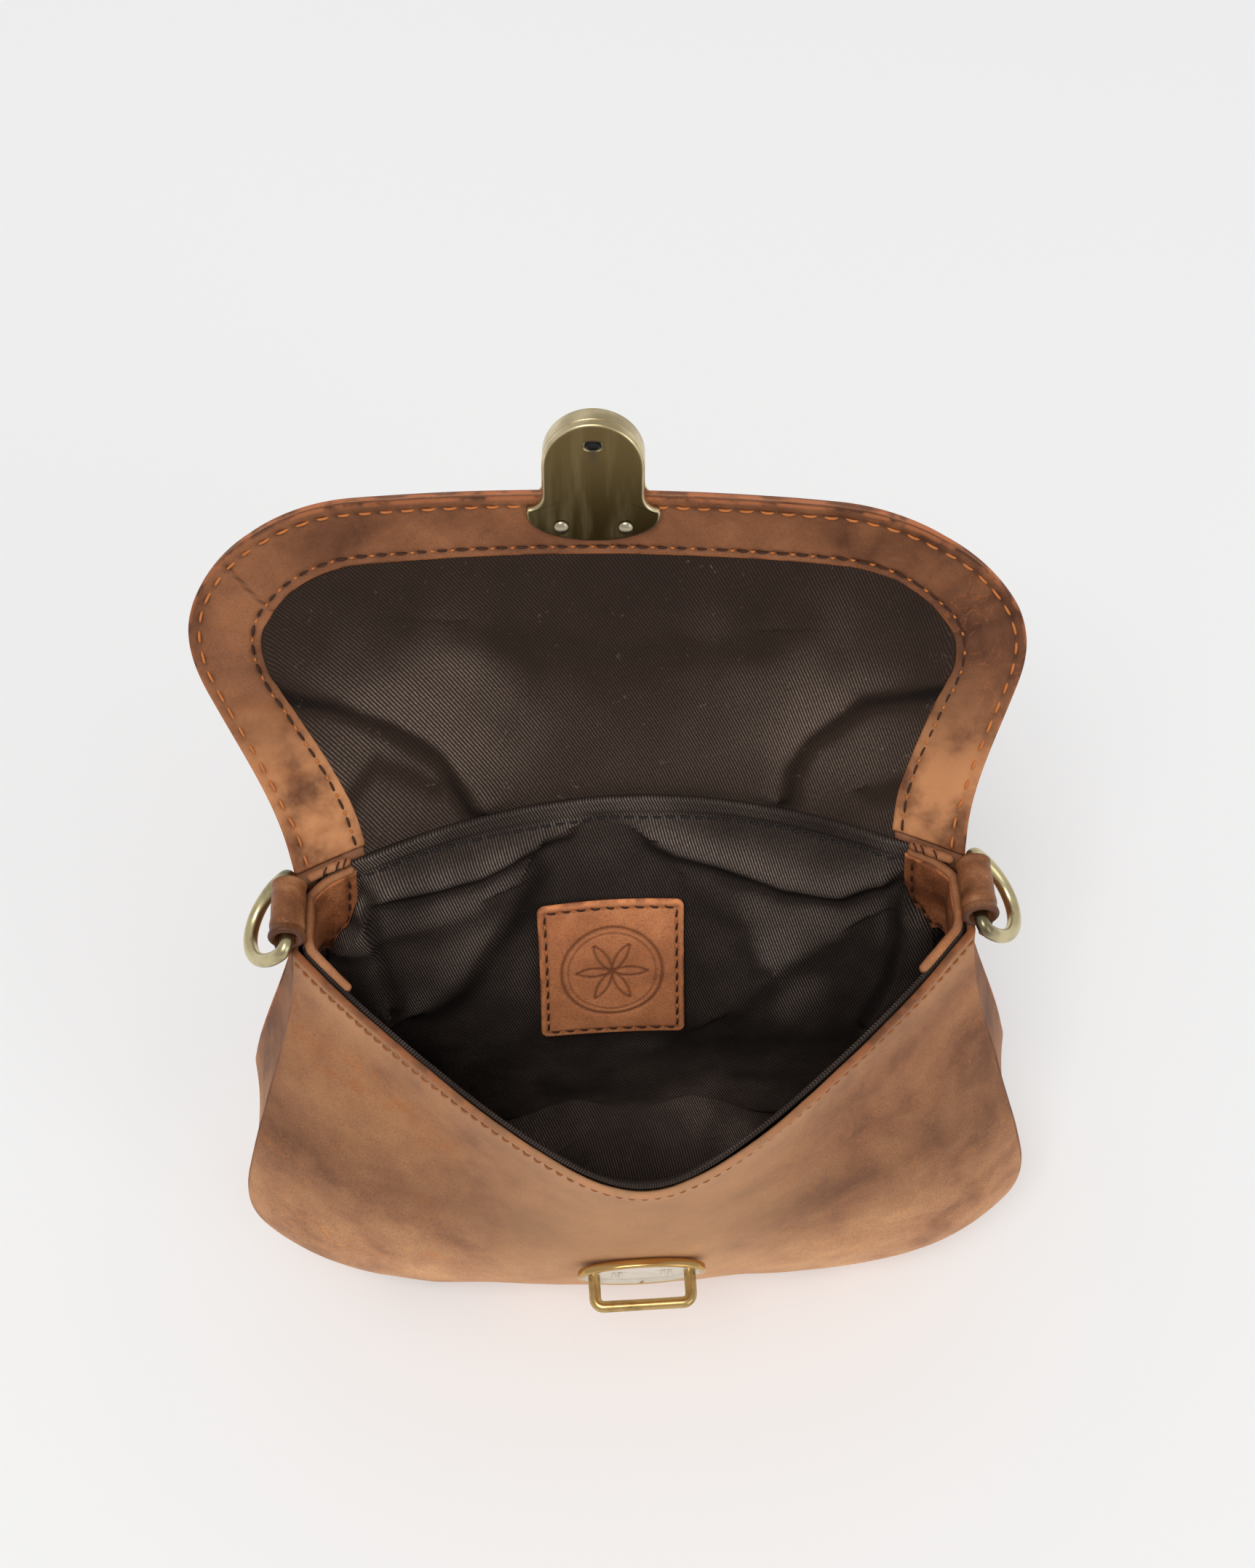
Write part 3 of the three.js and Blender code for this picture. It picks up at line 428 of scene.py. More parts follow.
# %% [markdown]
# The back and the flap are one sheet, so one grid carries on over the hinge: rows of the back
# wall below, rows of the flap above. The corners of the flap are quarter ellipses, and the
# grid's columns close up towards them, which is where a real edge needs its points.

# %% Back and flap
# The last rows of the grid, where the hills die away towards the flap's end
CALM_ROWS = 40
body_s = np.sin(np.linspace(-1, 1, 181) * np.pi / 2)
back_t = rimmed(0, 1, 80, 0.009)[:-5]
flap_v = np.linspace(0, 1, 101)[1:]
flap_l, flap_half = flap_outline(flap_v, 0)
back_rows = back_at(body_s[None, :], back_t[:, None])
flap_place = body_s[None, :] * flap_half[:, None], flap_l[:, None] + 0 * body_s[None, :]
flap_rows = flap_at(*flap_place)
flap_into = flap_face(*flap_place)
back_grid = np.concatenate([back_rows, flap_rows])
back_into = grid_normals(back_grid)
back_into[len(back_t) + 2 :] = flap_into[2:]
back_out = hills(back_grid, (0.5, 32, 13), (0.28, 14, 14), (0.08, 6, 15))
calm = (1 - np.abs(body_s[None, :]) ** 12) * np.ones(len(back_grid))[:, None]
calm[-CALM_ROWS:] *= np.linspace(1, 0.2, CALM_ROWS)[:, None]
back_grid = back_grid - back_into * (back_out * calm)[..., None]
put_mesh("back_and_flap_leather", *closed_sheet(back_grid, back_into, LEATHER), node="back_flap")

# %% [markdown]
# The gusset is one long strip: down one side, under the base and up the other side. Its path
# is built from three runs of stations, and the width runs from the front seam to the back one.

# %% Gusset
GUSSET_NARROWING = 2.2
WELL_INSIDE = np.array([0, -8, 70])
side_t = np.linspace(0, 1, 121)
gusset_q = rimmed(0, 1, 17, 0.045, 4)
up_side = side_at(1, gusset_q[None, :], side_t[1:, None])
up_side[..., 1] -= GUSSET_NARROWING * ease(side_t[1:])[:, None] * gusset_q[None, :]
under_x = np.linspace(-BASE_HALF_WIDTH, BASE_HALF_WIDTH, 61)
under = points(under_x[:, None], mix(-BASE_FRONT, BASE_BACK, gusset_q)[None, :], 0)
down_side = up_side[::-1] * [-1, 1, 1]
gusset_grid = np.concatenate([down_side, under, up_side])
gusset_into = grid_normals(gusset_grid)
gusset_into *= np.sign((gusset_into * (WELL_INSIDE - gusset_grid)).sum(axis=-1).mean())
flat_base = np.clip(gusset_grid[..., 2] / 12, 0, 1)
gusset_out = hills(gusset_grid, (0.45, 24, 23), (0.2, 9, 24)) * flat_base
gusset_grid = gusset_grid - gusset_into * gusset_out[..., None]
put_mesh("gusset_leather", *closed_sheet(gusset_grid, gusset_into, LEATHER), node="gusset")

# %% [markdown]
# The lining is a cloth bag that hangs inside. It is looser than the leather, so its back wall
# sags forward and lies in soft folds, and it is turned over in a hem at the top. A cloth
# simulation could find such folds, but these follow what hangs there: each is a ridge along
# its own line with one steep face. The inside of the body is first sampled as a ring of
# stations at every height, so that whatever is sewn to the lining can find it again.

# %% The inside of the body, ring by ring
LINING_DEPTH = 3.5
LINING_LEAST = 2.9
CORNER_STEPS = np.array([0.25, 0.5, 0.75])
# Below this share of the side's height the rows are fewer, and close up towards the base
LOW_PART = 0.25
# How much of a half turn the stations of the front and of the back wall cover
FRONT_TURN, BACK_TURN = 8 / 9, 7 / 9
WALL_STATIONS = 151
low_t = np.linspace(0, LOW_PART, 26) ** 1.25 / LOW_PART**0.25
ring_t = np.concatenate([low_t, np.linspace(LOW_PART, 1, 146)[1:]])
wall_s = np.sin(np.linspace(-1, 1, WALL_STATIONS) * FRONT_TURN * np.pi / 2)
back_wall_s = np.sin(np.linspace(1, -1, WALL_STATIONS) * BACK_TURN * np.pi / 2)
gusset_side = np.linspace(0.15, 0.85, 25)
t_column = ring_t[:, None]
walls = [
    front_at(wall_s[None, :], t_column),
    side_at(1, gusset_side[None, :], t_column),
    back_at(back_wall_s[None, :], t_column),
    side_at(-1, gusset_side[::-1][None, :], t_column),
]


def with_corners(walls):
    """Joins the walls in a closed ring, with a few points between each wall and the next."""
    parts = []
    for wall, following in zip(walls, walls[1:] + walls[:1]):
        a, b = wall[:, -1:], following[:, :1]
        parts += [wall, mix(a, b, CORNER_STEPS[None, :, None])]
    return np.concatenate(parts, axis=1)


inside = with_corners(walls)
for _ in range(6):
    inside = (np.roll(inside, 1, axis=1) + 2 * inside + np.roll(inside, -1, axis=1)) / 4
around_step = np.roll(inside, -1, axis=1) - np.roll(inside, 1, axis=1)
inside_into = unit(np.cross(np.gradient(inside, axis=0), around_step))
STATIONS = inside.shape[1]
BACK_START = len(wall_s) + len(gusset_side) + 2 * len(CORNER_STEPS)
SIDE_START = len(wall_s) + len(CORNER_STEPS)
print("inside sampled at", inside.shape[:2], "heights and stations")


def sample(field, station, t):
    """Reads a field on the ring grid between its stations and heights, straight in between."""
    row = np.interp(t, ring_t, np.arange(len(ring_t)))
    column = np.mod(station, STATIONS)
    r, c = np.minimum(np.floor(row).astype(int), len(ring_t) - 2), np.floor(column).astype(int)
    a, b = (row - r)[..., None], (column - c)[..., None]
    over = (c + 1) % STATIONS
    low = mix(field[r, c], field[r, over], b)
    high = mix(field[r + 1, c], field[r + 1, over], b)
    return mix(low, high, a)


def inside_point(station, t, depth):
    """The place of a station at a height, moved by a depth into the bag."""
    return sample(inside, station, t) + sample(inside_into, station, t) * depth


def back_station(s):
    """Station of the back wall at a share s across it."""
    return BACK_START + np.interp(-np.asarray(s, float), -back_wall_s, np.arange(len(back_wall_s)))


# %% Folds of the lining
LINING_SLACK = 22
# Folds of the back wall: width, rise and strength of the painted shade at its foot, then x and z along its
# line
WALL_FOLDS = [
    (3.4, 3.2, 0.9, (-84, 134), (-71, 139), (-54, 138.5), (-44, 139), (-33, 142.5), (-20, 144)),
    (4.0, 3.4, 1.0, (8, 139), (13, 137), (29, 134), (44, 131.5), (60, 133), (72, 141)),
    (6.5, 2.6, 0.75, (-62, 98), (-50, 108), (-38, 124), (-33, 132)),
    (4.0, 2.6, 0.8, (-74, 100), (-75, 114), (-78, 129), (-76, 138)),
    (3.4, 2.6, 0.9, (78, 136), (79, 119), (78, 100), (72, 84)),
    (6.0, 1.8, 0.4, (-80, 122), (-62, 126), (-46, 129)),
    (7.0, 1.6, 0.5, (30, 92), (44, 108), (60, 118)),
    (5.0, 1.4, 0.4, (20, 126), (34, 118), (40, 108)),
]


def fold_lines(x, z, lines):
    """Each bent line is a ridge: a bell of its width that falls slowly on the left of the
    line and steeply on its right, with painted shade, another bell, along the steep foot."""
    height = np.zeros(np.broadcast(x, z).shape)
    shade = height.copy()
    for width, rise, dark, *line in lines:
        nearest = height * 0 + 1e6
        signed = height * 0
        for (x0, z0), (x1, z1) in zip(line, line[1:]):
            run, climb = x1 - x0, z1 - z0
            held = np.clip(((x - x0) * run + (z - z0) * climb) / (run * run + climb * climb), 0, 1)
            dx, dz = x - (x0 + held * run), z - (z0 + held * climb)
            closer = np.hypot(dx, dz) < nearest
            nearest = np.where(closer, np.hypot(dx, dz), nearest)
            signed = np.where(closer, np.sign(dz * run - dx * climb) * nearest, signed)
        spread = np.where(signed > 0, 2.2, 0.7) * width
        height = height + rise * bell(nearest, spread)
        foot = np.hypot(signed + 0.8 * width, 0.5 * (nearest - np.abs(signed)))
        shade = np.maximum(shade, dark * bell(foot, 0.75 * width))
    return height, shade


# Share across the back wall for each station, and a number well over 1 off that wall
OFF_WALL = 9
station_number = np.arange(STATIONS)
back_share = np.interp(
    station_number, BACK_START + np.arange(WALL_STATIONS), back_wall_s, left=OFF_WALL, right=OFF_WALL
)
on_back = ease((1 - np.abs(back_share)) / 0.12) * (np.abs(back_share) < 1)
hang = ease((1 - ring_t) / 0.5) * ease(ring_t / 0.2)
sag = LINING_SLACK * hang[:, None] * np.where(np.abs(back_share) < 1, 1 - back_share**4, 0)[None, :]
fold_wave, fold_shade = fold_lines(
    inside[..., 0] + 2.0 * cloud(inside, 16, 31), inside[..., 2] + 1.5 * cloud(inside, 18, 36), WALL_FOLDS
)
held_top = ease((1 - ring_t) / 0.07)[:, None]
rumple = hills(inside, (1.0, 30, 32), (0.6, 13, 33), (0.22, 6, 35))
loose = (rumple + 1.1) * held_top * ease(ring_t / 0.12)[:, None]
HEM_TALL = 0.022
hem = 1.0 * ease((ring_t - (1 - HEM_TALL)) / 0.004)[:, None] * on_back[None, :]
seam_dip = -0.35 * bell((ring_t - (1 - HEM_TALL - 0.008)) * SIDE_HEIGHT, 0.8)[:, None]
# How far a corner facing drops below the mouth, and what part of that it drops at each share
# of its span: rows of (share, part)
FACING_DROP = 33
FACING_DROPS = [
    (0, 0.1), (0.2, 0.14), (0.32, 0.6), (0.5, 0.92),
    (0.66, 1.0), (0.82, 0.88), (0.93, 0.64), (1, 0.36),
]
# Shares across the front panel and across the back where the span begins and ends
FACING_FRONT_S = 0.868
FACING_BACK_S = 0.845
front_station = np.interp(FACING_FRONT_S, wall_s, np.arange(len(wall_s)))
right_span = (front_station, float(back_station(FACING_BACK_S)))


def mirrored_station(station):
    """Station on the left of the bag that faces a station on the right."""
    return np.mod(len(wall_s) - 1 - station, STATIONS)


def facing_station(side, share):
    """Station at a share of the span of the corner facing on one side."""
    station = mix(right_span[0], right_span[1], share)
    return station if side > 0 else mirrored_station(station)


def under_facing(station):
    """How far each ring point is held flat by the right corner facing: 1 under it, and an
    eased fall to 0 a little way below its lower edge and beyond both of its ends."""
    share = (station - right_span[0]) / (right_span[1] - right_span[0])
    drop = FACING_DROP * from_table(FACING_DROPS, np.clip(share, 0, 1))
    below, beyond = 7, 0.1
    from_edge = drop[None, :] + below - (1 - ring_t[:, None]) * SIDE_HEIGHT
    sideways = np.minimum(share + beyond, 1 + beyond - share)[None, :]
    return ease(from_edge / 6) * ease(sideways / 0.09)


held_flat = under_facing(station_number) + under_facing(mirrored_station(station_number))
# Stations beside the four seams of the gusset, where the cloth lies back in a crease
RIGHT_SEAMS = SIDE_START - 1, SIDE_START + len(gusset_side) + 1
LEFT_SEAMS = BACK_START + WALL_STATIONS + 1, STATIONS - 2
corner_crease = -1.2 * sum(bell(station_number - seam, 2.2) for seam in RIGHT_SEAMS + LEFT_SEAMS)
back_folds = fold_wave * held_top * on_back[None, :]
free = back_folds + loose + hem + corner_crease[None, :] * held_top
lining_depth = np.maximum(LINING_DEPTH + sag + free * (1 - held_flat) + seam_dip, LINING_LEAST)
lining_face = inside + inside_into * lining_depth[..., None]
print("lining folds rise to", round(float(back_folds.max()), 1), "mm")

# %% Lining mesh
LINING_OUT = 2.4
outer_rows = np.linspace(0, len(ring_t) - 1, 26).astype(int)
outer_face = inside[outer_rows] + inside_into[outer_rows] * LINING_OUT
hem_rise = 1.5 * on_back[:, None] * [0, 0, 1]
lining_face[-1] += hem_rise
lining_face[-2] += 0.7 * hem_rise
outer_face[-1] += hem_rise
rim_top = mix(outer_face[-1], lining_face[-1], 0.5) + [0, 0, 0.45]
FLOOR_PUFF = 42
floor_middle = np.array([0, (BASE_BACK - BASE_FRONT) / 2, 0])


def floor_rings(ring, shares):
    """Shrinks a ring towards the middle of the base, once for each share, and lifts it
    by the puff of the loose floor times 1 less the square of the share."""
    middle = floor_middle + [0, 0, ring[:, 2].mean()]
    puff = np.array([0, 0, FLOOR_PUFF])
    return np.stack([mix(middle, ring, share) + puff * (1 - share * share) for share in shares])


floor_shares = [0.97, 0.9, 0.8, 0.68, 0.54, 0.4, 0.26, 0.12, 0.02]
bottom_out = outer_face[0] * [1, 1, 0] + [0, 0, LINING_OUT]
bottom_in = lining_face[0] * [1, 1, 0] + [0, 0, LINING_DEPTH]
rings = np.concatenate(
    [
        floor_rings(bottom_out, floor_shares[::-1]),
        outer_face,
        rim_top[None],
        lining_face[::-1],
        floor_rings(bottom_in, floor_shares),
    ]
)


def ring_skin(rings, poles=True):
    """A closed skin over a row of rings, shut by a fan of triangles at each end."""
    count, around = rings.shape[:2]
    index = np.arange(count * around).reshape(count, around)
    index = np.concatenate([index, index[:, :1]], axis=1)
    if not poles:
        index = np.concatenate([index, index[:1]], axis=0)
        return rings.reshape(-1, 3), [quads(index)]
    ends = np.stack([rings[0].mean(axis=0), rings[-1].mean(axis=0)])
    first, last = count * around, count * around + 1
    fan_a = np.stack([np.full(around, first), index[0, 1:], index[0, :-1]], axis=-1)
    fan_b = np.stack([np.full(around, last), index[-1, :-1], index[-1, 1:]], axis=-1)
    return np.concatenate([rings.reshape(-1, 3), ends]), [quads(index), fan_a, fan_b]


# The weave mark holds the count of ribs crossed, the way along a rib, and how pale or dark the
# cloth is painted: pale fold tops, partly rubbing and partly painted light, above 0, and painted
# shade at the folds' feet below 0
MEASURED_ROW = 100
ring_arc = arc(inside[MEASURED_ROW])
on_gusset = np.zeros(STATIONS)
on_gusset[RIGHT_SEAMS[0] : RIGHT_SEAMS[1] + 1] = 1
on_gusset[LEFT_SEAMS[0] :] = 1


def weave_of(grid):
    """Ribs counted across and up the wall; on the gusset the cloth was cut the other way."""
    across = np.broadcast_to(ring_arc[None, :], grid.shape[:2])
    wall_way = np.where(on_back > 0, grid[..., 0], -across)
    up = grid[..., 2]
    wall_count = 1.25 * wall_way + 0.5 * up
    side_count = 0.35 * across + 1.2 * up
    count = mix(wall_count, side_count, on_gusset[None, :])
    floor_rows = (np.arange(len(grid)) >= len(grid) - len(floor_shares))[:, None]
    floor = ease((14 + FLOOR_PUFF - up) / 6) * floor_rows
    return mix(count, 1.25 * grid[..., 0] + 0.5 * grid[..., 1], floor), up + 0.4 * across


count, way = weave_of(rings)
wear_and_painted_light_rows = np.zeros(rings.shape[:2])
inner_start = len(floor_shares) + len(outer_rows) + 1
top_down = slice(inner_start, inner_start + len(ring_t))
# Fold tops paler, partly as rubbing and partly as painted light, random patches, paler along the top, and
# painted shade at the feet of the folds
wear_and_painted_light_inside = back_folds / 6 + hills(inside, (0.4, 24, 34), (0.2, 9, 37)) + 0.16
wear_and_painted_light_inside = wear_and_painted_light_inside + 0.3 * ease((ring_t - 0.95) / 0.05)[:, None]
wear_and_painted_light_inside = wear_and_painted_light_inside - 1.05 * fold_shade * on_back * held_top
wear_and_painted_light_rows[top_down] = np.clip(wear_and_painted_light_inside, -1, 1)[::-1]
weave = points(count, way, wear_and_painted_light_rows)
vertices, faces = ring_skin(rings)
ends = np.stack([weave[0].mean(axis=0), weave[-1].mean(axis=0)])
lining = put_mesh(
    "bag_lining", vertices, faces, {"weave": np.concatenate([weave.reshape(-1, 3), ends])}, node="lining"
)

# %% [markdown]
# The flap has its own lining, laid flat inside a band of leather and creased where the flap
# bends when the bag is shut. Two long folds run down from the sides towards the hinge, with a
# steep lower face darkened by painted shade, and a ridge made paler by painted light.

# %% Flap lining
CLOTH_INSET = FACING_WIDTH - 0.6
CLOTH_START = 2.3
CLOTH_THICKNESS = 1.0
CLOTH_LOW = 0.004
# Folds of the flap's lining: width, rise and strength of the painted shade at its foot, then x and length
# along it
FLAP_FOLDS = [
    (3.6, 4.4, 1.0, (-97, 46), (-88, 43.5), (-73, 36.8), (-60.5, 27.7), (-48.5, 17.2), (-39.5, 3.8)),
    (3.4, 3.6, 0.9, (42, 6), (43, 11.5), (50, 21.5), (64.5, 33.9), (85.5, 41), (95, 44)),
    (8.0, 1.2, 0.2, (-34, 50), (0, 44), (34, 47)),
    (3.5, 1.2, 0.45, (66, 12), (80, 20), (90, 22)),
    (3.5, 1.0, 0.4, (-76, 14), (-66, 22), (-52, 12)),
]
cloth_u = rimmed(-1, 1, 200, 0.012, 4)
cloth_v = rimmed(CLOTH_LOW, 1, 118, 0.012, 4)
cloth_l, cloth_half = flap_outline(cloth_v[:, None], CLOTH_INSET)
cloth_x = np.sin(cloth_u[None, :] * np.pi / 2) * cloth_half
cloth_l = cloth_l + 0 * cloth_x
flap_grid = flap_point(cloth_x, cloth_l, CLOTH_START + 0 * cloth_x)
flap_cloth_into = flap_face(cloth_x, cloth_l)
cloth_held = ease((1 - np.abs(cloth_u[None, :])) / 0.08) * ease((1 - cloth_v[:, None]) / 0.2)
cloth_held = cloth_held * ease((cloth_v[:, None] - CLOTH_LOW) / 0.05)
wander = 2.2 * cloud(flap_grid, 18, 41)
flap_fold, flap_shade = fold_lines(cloth_x + wander, cloth_l + 0.6 * wander, FLAP_FOLDS)
flap_rumple = hills(flap_grid, (0.55, 26, 42), (0.28, 11, 43))
flap_rise = (flap_fold + flap_rumple + 0.3) * cloth_held
rib_count = 1.13 * cloth_x + 0.0008 * cloth_x**2 + 0.6 * cloth_l - 0.0027 * cloth_x * cloth_l
# The flap lining's worn mark: painted light on the ridges beside the folds, paler towards the hinge, random
# rubbed patches, and painted shade at the folds' feet
lower = ease((46 - cloth_l) / 30)
ridge_light = bell(np.abs(cloth_x) - 52, 26) * bell(cloth_l - 30, 22)
flap_wear_and_painted_light = 0.04 + 0.6 * ridge_light + 0.35 * flap_fold / 4 * ridge_light + 0.22 * lower
patchy = hills(flap_grid, (0.3, 20, 44), (0.16, 8, 45))
flap_wear_and_painted_light = flap_wear_and_painted_light + patchy * (0.3 + ridge_light)
flap_wear_and_painted_light = np.clip(flap_wear_and_painted_light - 1.1 * flap_shade, -1, 1)
flap_sheet = closed_sheet(
    flap_grid, flap_cloth_into, CLOTH_THICKNESS, soft=0.6, relief=flap_rise, shown="inner",
    weave=points(rib_count, cloth_l - 0.4 * cloth_x, flap_wear_and_painted_light),
)
flap_cloth = put_mesh("flap_cloth", *flap_sheet, node="flap_lining")

# %% [markdown]
# A band of leather faces the open side of the flap, with two rows of stitches. It is one strip
# bent round the outline, so across the band runs the inset from the flap's edge, and along it
# runs the outline. Cross creases show where the strip was eased round the corners.

# %% Flap band
OUTER_ROW, OUTER_PITCH = 2.6, 5.3
INNER_ROW, INNER_PITCH = 15.0, 5.1
BAND_START = 2.3
BAND_THICKNESS = 1.6
edge_v = np.linspace(0.03, 1, 150)
end_s = np.linspace(-1, 1, 92)[1:-1]
band_v = np.concatenate([edge_v, np.ones(len(end_s)), edge_v[::-1]])
band_s = np.concatenate([-np.ones(len(edge_v)), end_s, np.ones(len(edge_v))])
band_inset = rimmed(0, FACING_WIDTH, 26, 0.9)


def band_place(inset):
    """Across and along places on the flap, for the stations of the band at an inset."""
    l, half = flap_outline(band_v[:, None], inset)
    return band_s[:, None] * half, l


band_x, band_l = band_place(band_inset[None, :])
band_grid = flap_point(band_x, band_l, BAND_START + 0 * band_x)
band_into = flap_face(band_x, band_l)
band_arc = arc(band_grid[:, 0])
print("flap band is", round(band_arc[-1]), "mm long")


def row_place(inset):
    """Across and along places on the flap of a row of stitches at an inset."""
    x, l = band_place(np.array([[inset]]))
    return x[:, 0], l[:, 0]


def seam_marks(inset, pitch, shade):
    """Groove, pucker and painted shade of a stitch row: bells across the band, and cosines of the
    length walked along the row, that rise at each stitch and paint shade between two of them."""
    x, l = row_place(inset)
    turns = arc(flap_point(x, l, BAND_START + BAND_THICKNESS + 0 * l)) / pitch
    groove = bell(band_inset - inset, 0.7)[None, :]
    pucker = np.cos(2 * np.pi * turns)[:, None] * bell(band_inset - inset, 1.6)[None, :]
    dark = groove * (shade + (1 - shade) * np.cos(2 * np.pi * (turns + 0.5)))[:, None]
    return np.stack([groove + 0 * pucker, pucker, dark])


band_groove, band_pucker, row_shade = (
    seam_marks(OUTER_ROW, OUTER_PITCH, 0.5) + seam_marks(INNER_ROW, INNER_PITCH, 0.6)
)

# Creases across the band: place along it in millimetres, width and depth
CREASE_PLACES = [
    (7, 1.6, 0.5), (13, 1.2, 0.35), (21, 1.8, 0.55), (29, 1.1, 0.3), (37, 1.6, 0.45), (47, 2.4, 0.5),
    (58, 1.3, 0.25), (72, 1.6, 0.2), (250, 1.5, 0.25), (262, 1.8, 0.35), (274, 2.0, 0.4),
    (284, 1.3, 0.45), (292, 1.8, 0.5), (301, 1.3, 0.35), (309, 1.5, 0.45),
]
crease_wander = 2.4 * cloud(band_grid, 9, 51)
band_creases = sum(
    deep * bell(band_arc[:, None] + crease_wander - place, width) for place, width, deep in CREASE_PLACES
)
# The strip's two ends meet in a slanted joint at this share of its length
JOINT_SHARE = 0.238
BAND_MIDDLE = 8
joint_place = band_arc[-1] * JOINT_SHARE
joint = bell(band_arc[:, None] - joint_place + 0.25 * (band_inset[None, :] - BAND_MIDDLE), 0.45)
band_relief = (
    hills(band_grid, (0.42, 17, 52), (0.2, 7, 53))
    + 0.12 * band_pucker
    - 0.3 * band_groove
    - 1.4 * band_creases * bell(band_inset - BAND_MIDDLE, 9)[None, :]
    - 0.5 * joint
)
# Painted shade in the stitch grooves and in the creases, and the dark joint of the strip
shade_and_joint_lines = np.clip(row_shade + joint + 0.7 * np.clip(band_creases, 0, 1), 0, 1)
# Hands rub the band this far along it from its left and from its right end, fading out
RUBBED_LEFT, RUBBED_RIGHT, RUBBED_FADE = 62, 58, 50
near_hinge = ease((RUBBED_LEFT - band_arc) / RUBBED_FADE)
near_hinge = near_hinge + ease((band_arc - band_arc[-1] + RUBBED_RIGHT) / RUBBED_FADE)
band_sheet = closed_sheet(
    band_grid, band_into, BAND_THICKNESS, soft=0.8, relief=band_relief, shown="inner",
    seam=points(shade_and_joint_lines, 0, near_hinge[:, None]),
)
put_mesh("flap_band", *band_sheet, node="flap_facing")

# %% [markdown]
# Leather facings cover the lining in both corners of the mouth. They lie on the ring stations
# of the inside, a little deeper than the lining, and run from the front panel over the gusset
# to the back. Their lower edge is read from a small table.

# %% Corner facings
FACING_LIFT = 0.5
FACING_THICKNESS = 1.5
FACING_SEAM = 2.4
FACING_SPAN = 46
facing_share = rimmed(0, 1, 96, 0.016)
facing_rows = rimmed(0, 1, 30, 0.035)
facing_drop = FACING_DROP * from_table(FACING_DROPS, facing_share)[None, :]
facing_depth = (LINING_DEPTH + sag)[..., None]
facing_t = 1 - facing_drop * (1 - facing_rows[:, None]) / SIDE_HEIGHT - 0.0015
# Distance from the lower edge or from the back end, whichever is nearer
near = np.minimum(facing_rows[:, None] * facing_drop, (1 - facing_share)[None, :] * FACING_SPAN)
for side, word in SIDES:
    places = facing_station(side, facing_share[None, :] + 0 * facing_t)
    grid = inside_point(places, facing_t, sample(facing_depth, places, facing_t) + FACING_LIFT)
    relief = hills(grid, (0.35, 11, 61), (0.22, 4.5, 62)) - 0.34 * bell(near - FACING_SEAM, 0.7)
    relief = relief + 0.5 * bell(near - 7, 4)
    # The seam mark paints shade along the stitch groove
    facing_sheet = closed_sheet(
        grid, sample(inside_into, places, facing_t), FACING_THICKNESS, soft=0.7, relief=relief,
        shown="inner", seam=points(0.7 * bell(near - FACING_SEAM, 0.6), 0, 0),
    )
    put_mesh("corner_facing_leather_" + word, *facing_sheet, node="corner_facing_" + word)

# %% [markdown]
# Threads, wires and rolled edges are all profiles carried along a path. At each point of the
# path the profile needs two directions across it: one is given, and the other is the cross
# product with the way along. A curve with a bevel would do it too; arrays keep every ring.

# %% Carry a round profile along a path
def carried(path, across, radius, sides=12, closed=False, flat=1.0, ends=5):
    """Rings round a path: radius times cosine along one direction plus sine along the other.
    Open ends are rounded by rings that shrink along a quarter circle."""
    path = np.asarray(path, float)
    if closed:
        along = unit(np.roll(path, -1, axis=0) - np.roll(path, 1, axis=0))
    else:
        along = unit(np.gradient(path, axis=0))
    across = np.broadcast_to(across, path.shape)
    across = unit(across - along * (across * along).sum(axis=-1, keepdims=True))
    other = np.cross(along, across)
    radius = np.broadcast_to(radius, len(path)).astype(float)
    if not closed:
        turn = np.linspace(0, np.pi / 2, ends + 1)[1:]
        cap = radius[0] * np.sin(turn)[::-1], radius[0] * np.cos(turn)[::-1]
        tip = radius[-1] * np.sin(turn), radius[-1] * np.cos(turn)
        start = path[0] - along[0] * cap[0][:, None]
        finish = path[-1] + along[-1] * tip[0][:, None]
        path = np.concatenate([start, path, finish])
        across = np.concatenate([np.repeat(across[:1], ends, 0), across, np.repeat(across[-1:], ends, 0)])
        other = np.concatenate([np.repeat(other[:1], ends, 0), other, np.repeat(other[-1:], ends, 0)])
        radius = np.concatenate([np.maximum(cap[1], 0.02), radius, np.maximum(tip[1], 0.02)])
    angle = np.linspace(0, 2 * np.pi, sides, endpoint=False)
    ring = across[:, None] * np.cos(angle)[None, :, None] * flat
    ring = ring + other[:, None] * np.sin(angle)[None, :, None]
    return path[:, None] + ring * radius[:, None, None]


def joined(skins):
    """Puts several skins into one list of vertices and faces."""
    vertices, faces, start = [], [], 0
    for points_of, faces_of in skins:
        vertices.append(points_of)
        faces += [face + start for face in faces_of]
        start += len(points_of)
    return np.concatenate(vertices), faces


# %% Stitches
STITCH_SHAPE = np.linspace(-1, 1, 7)


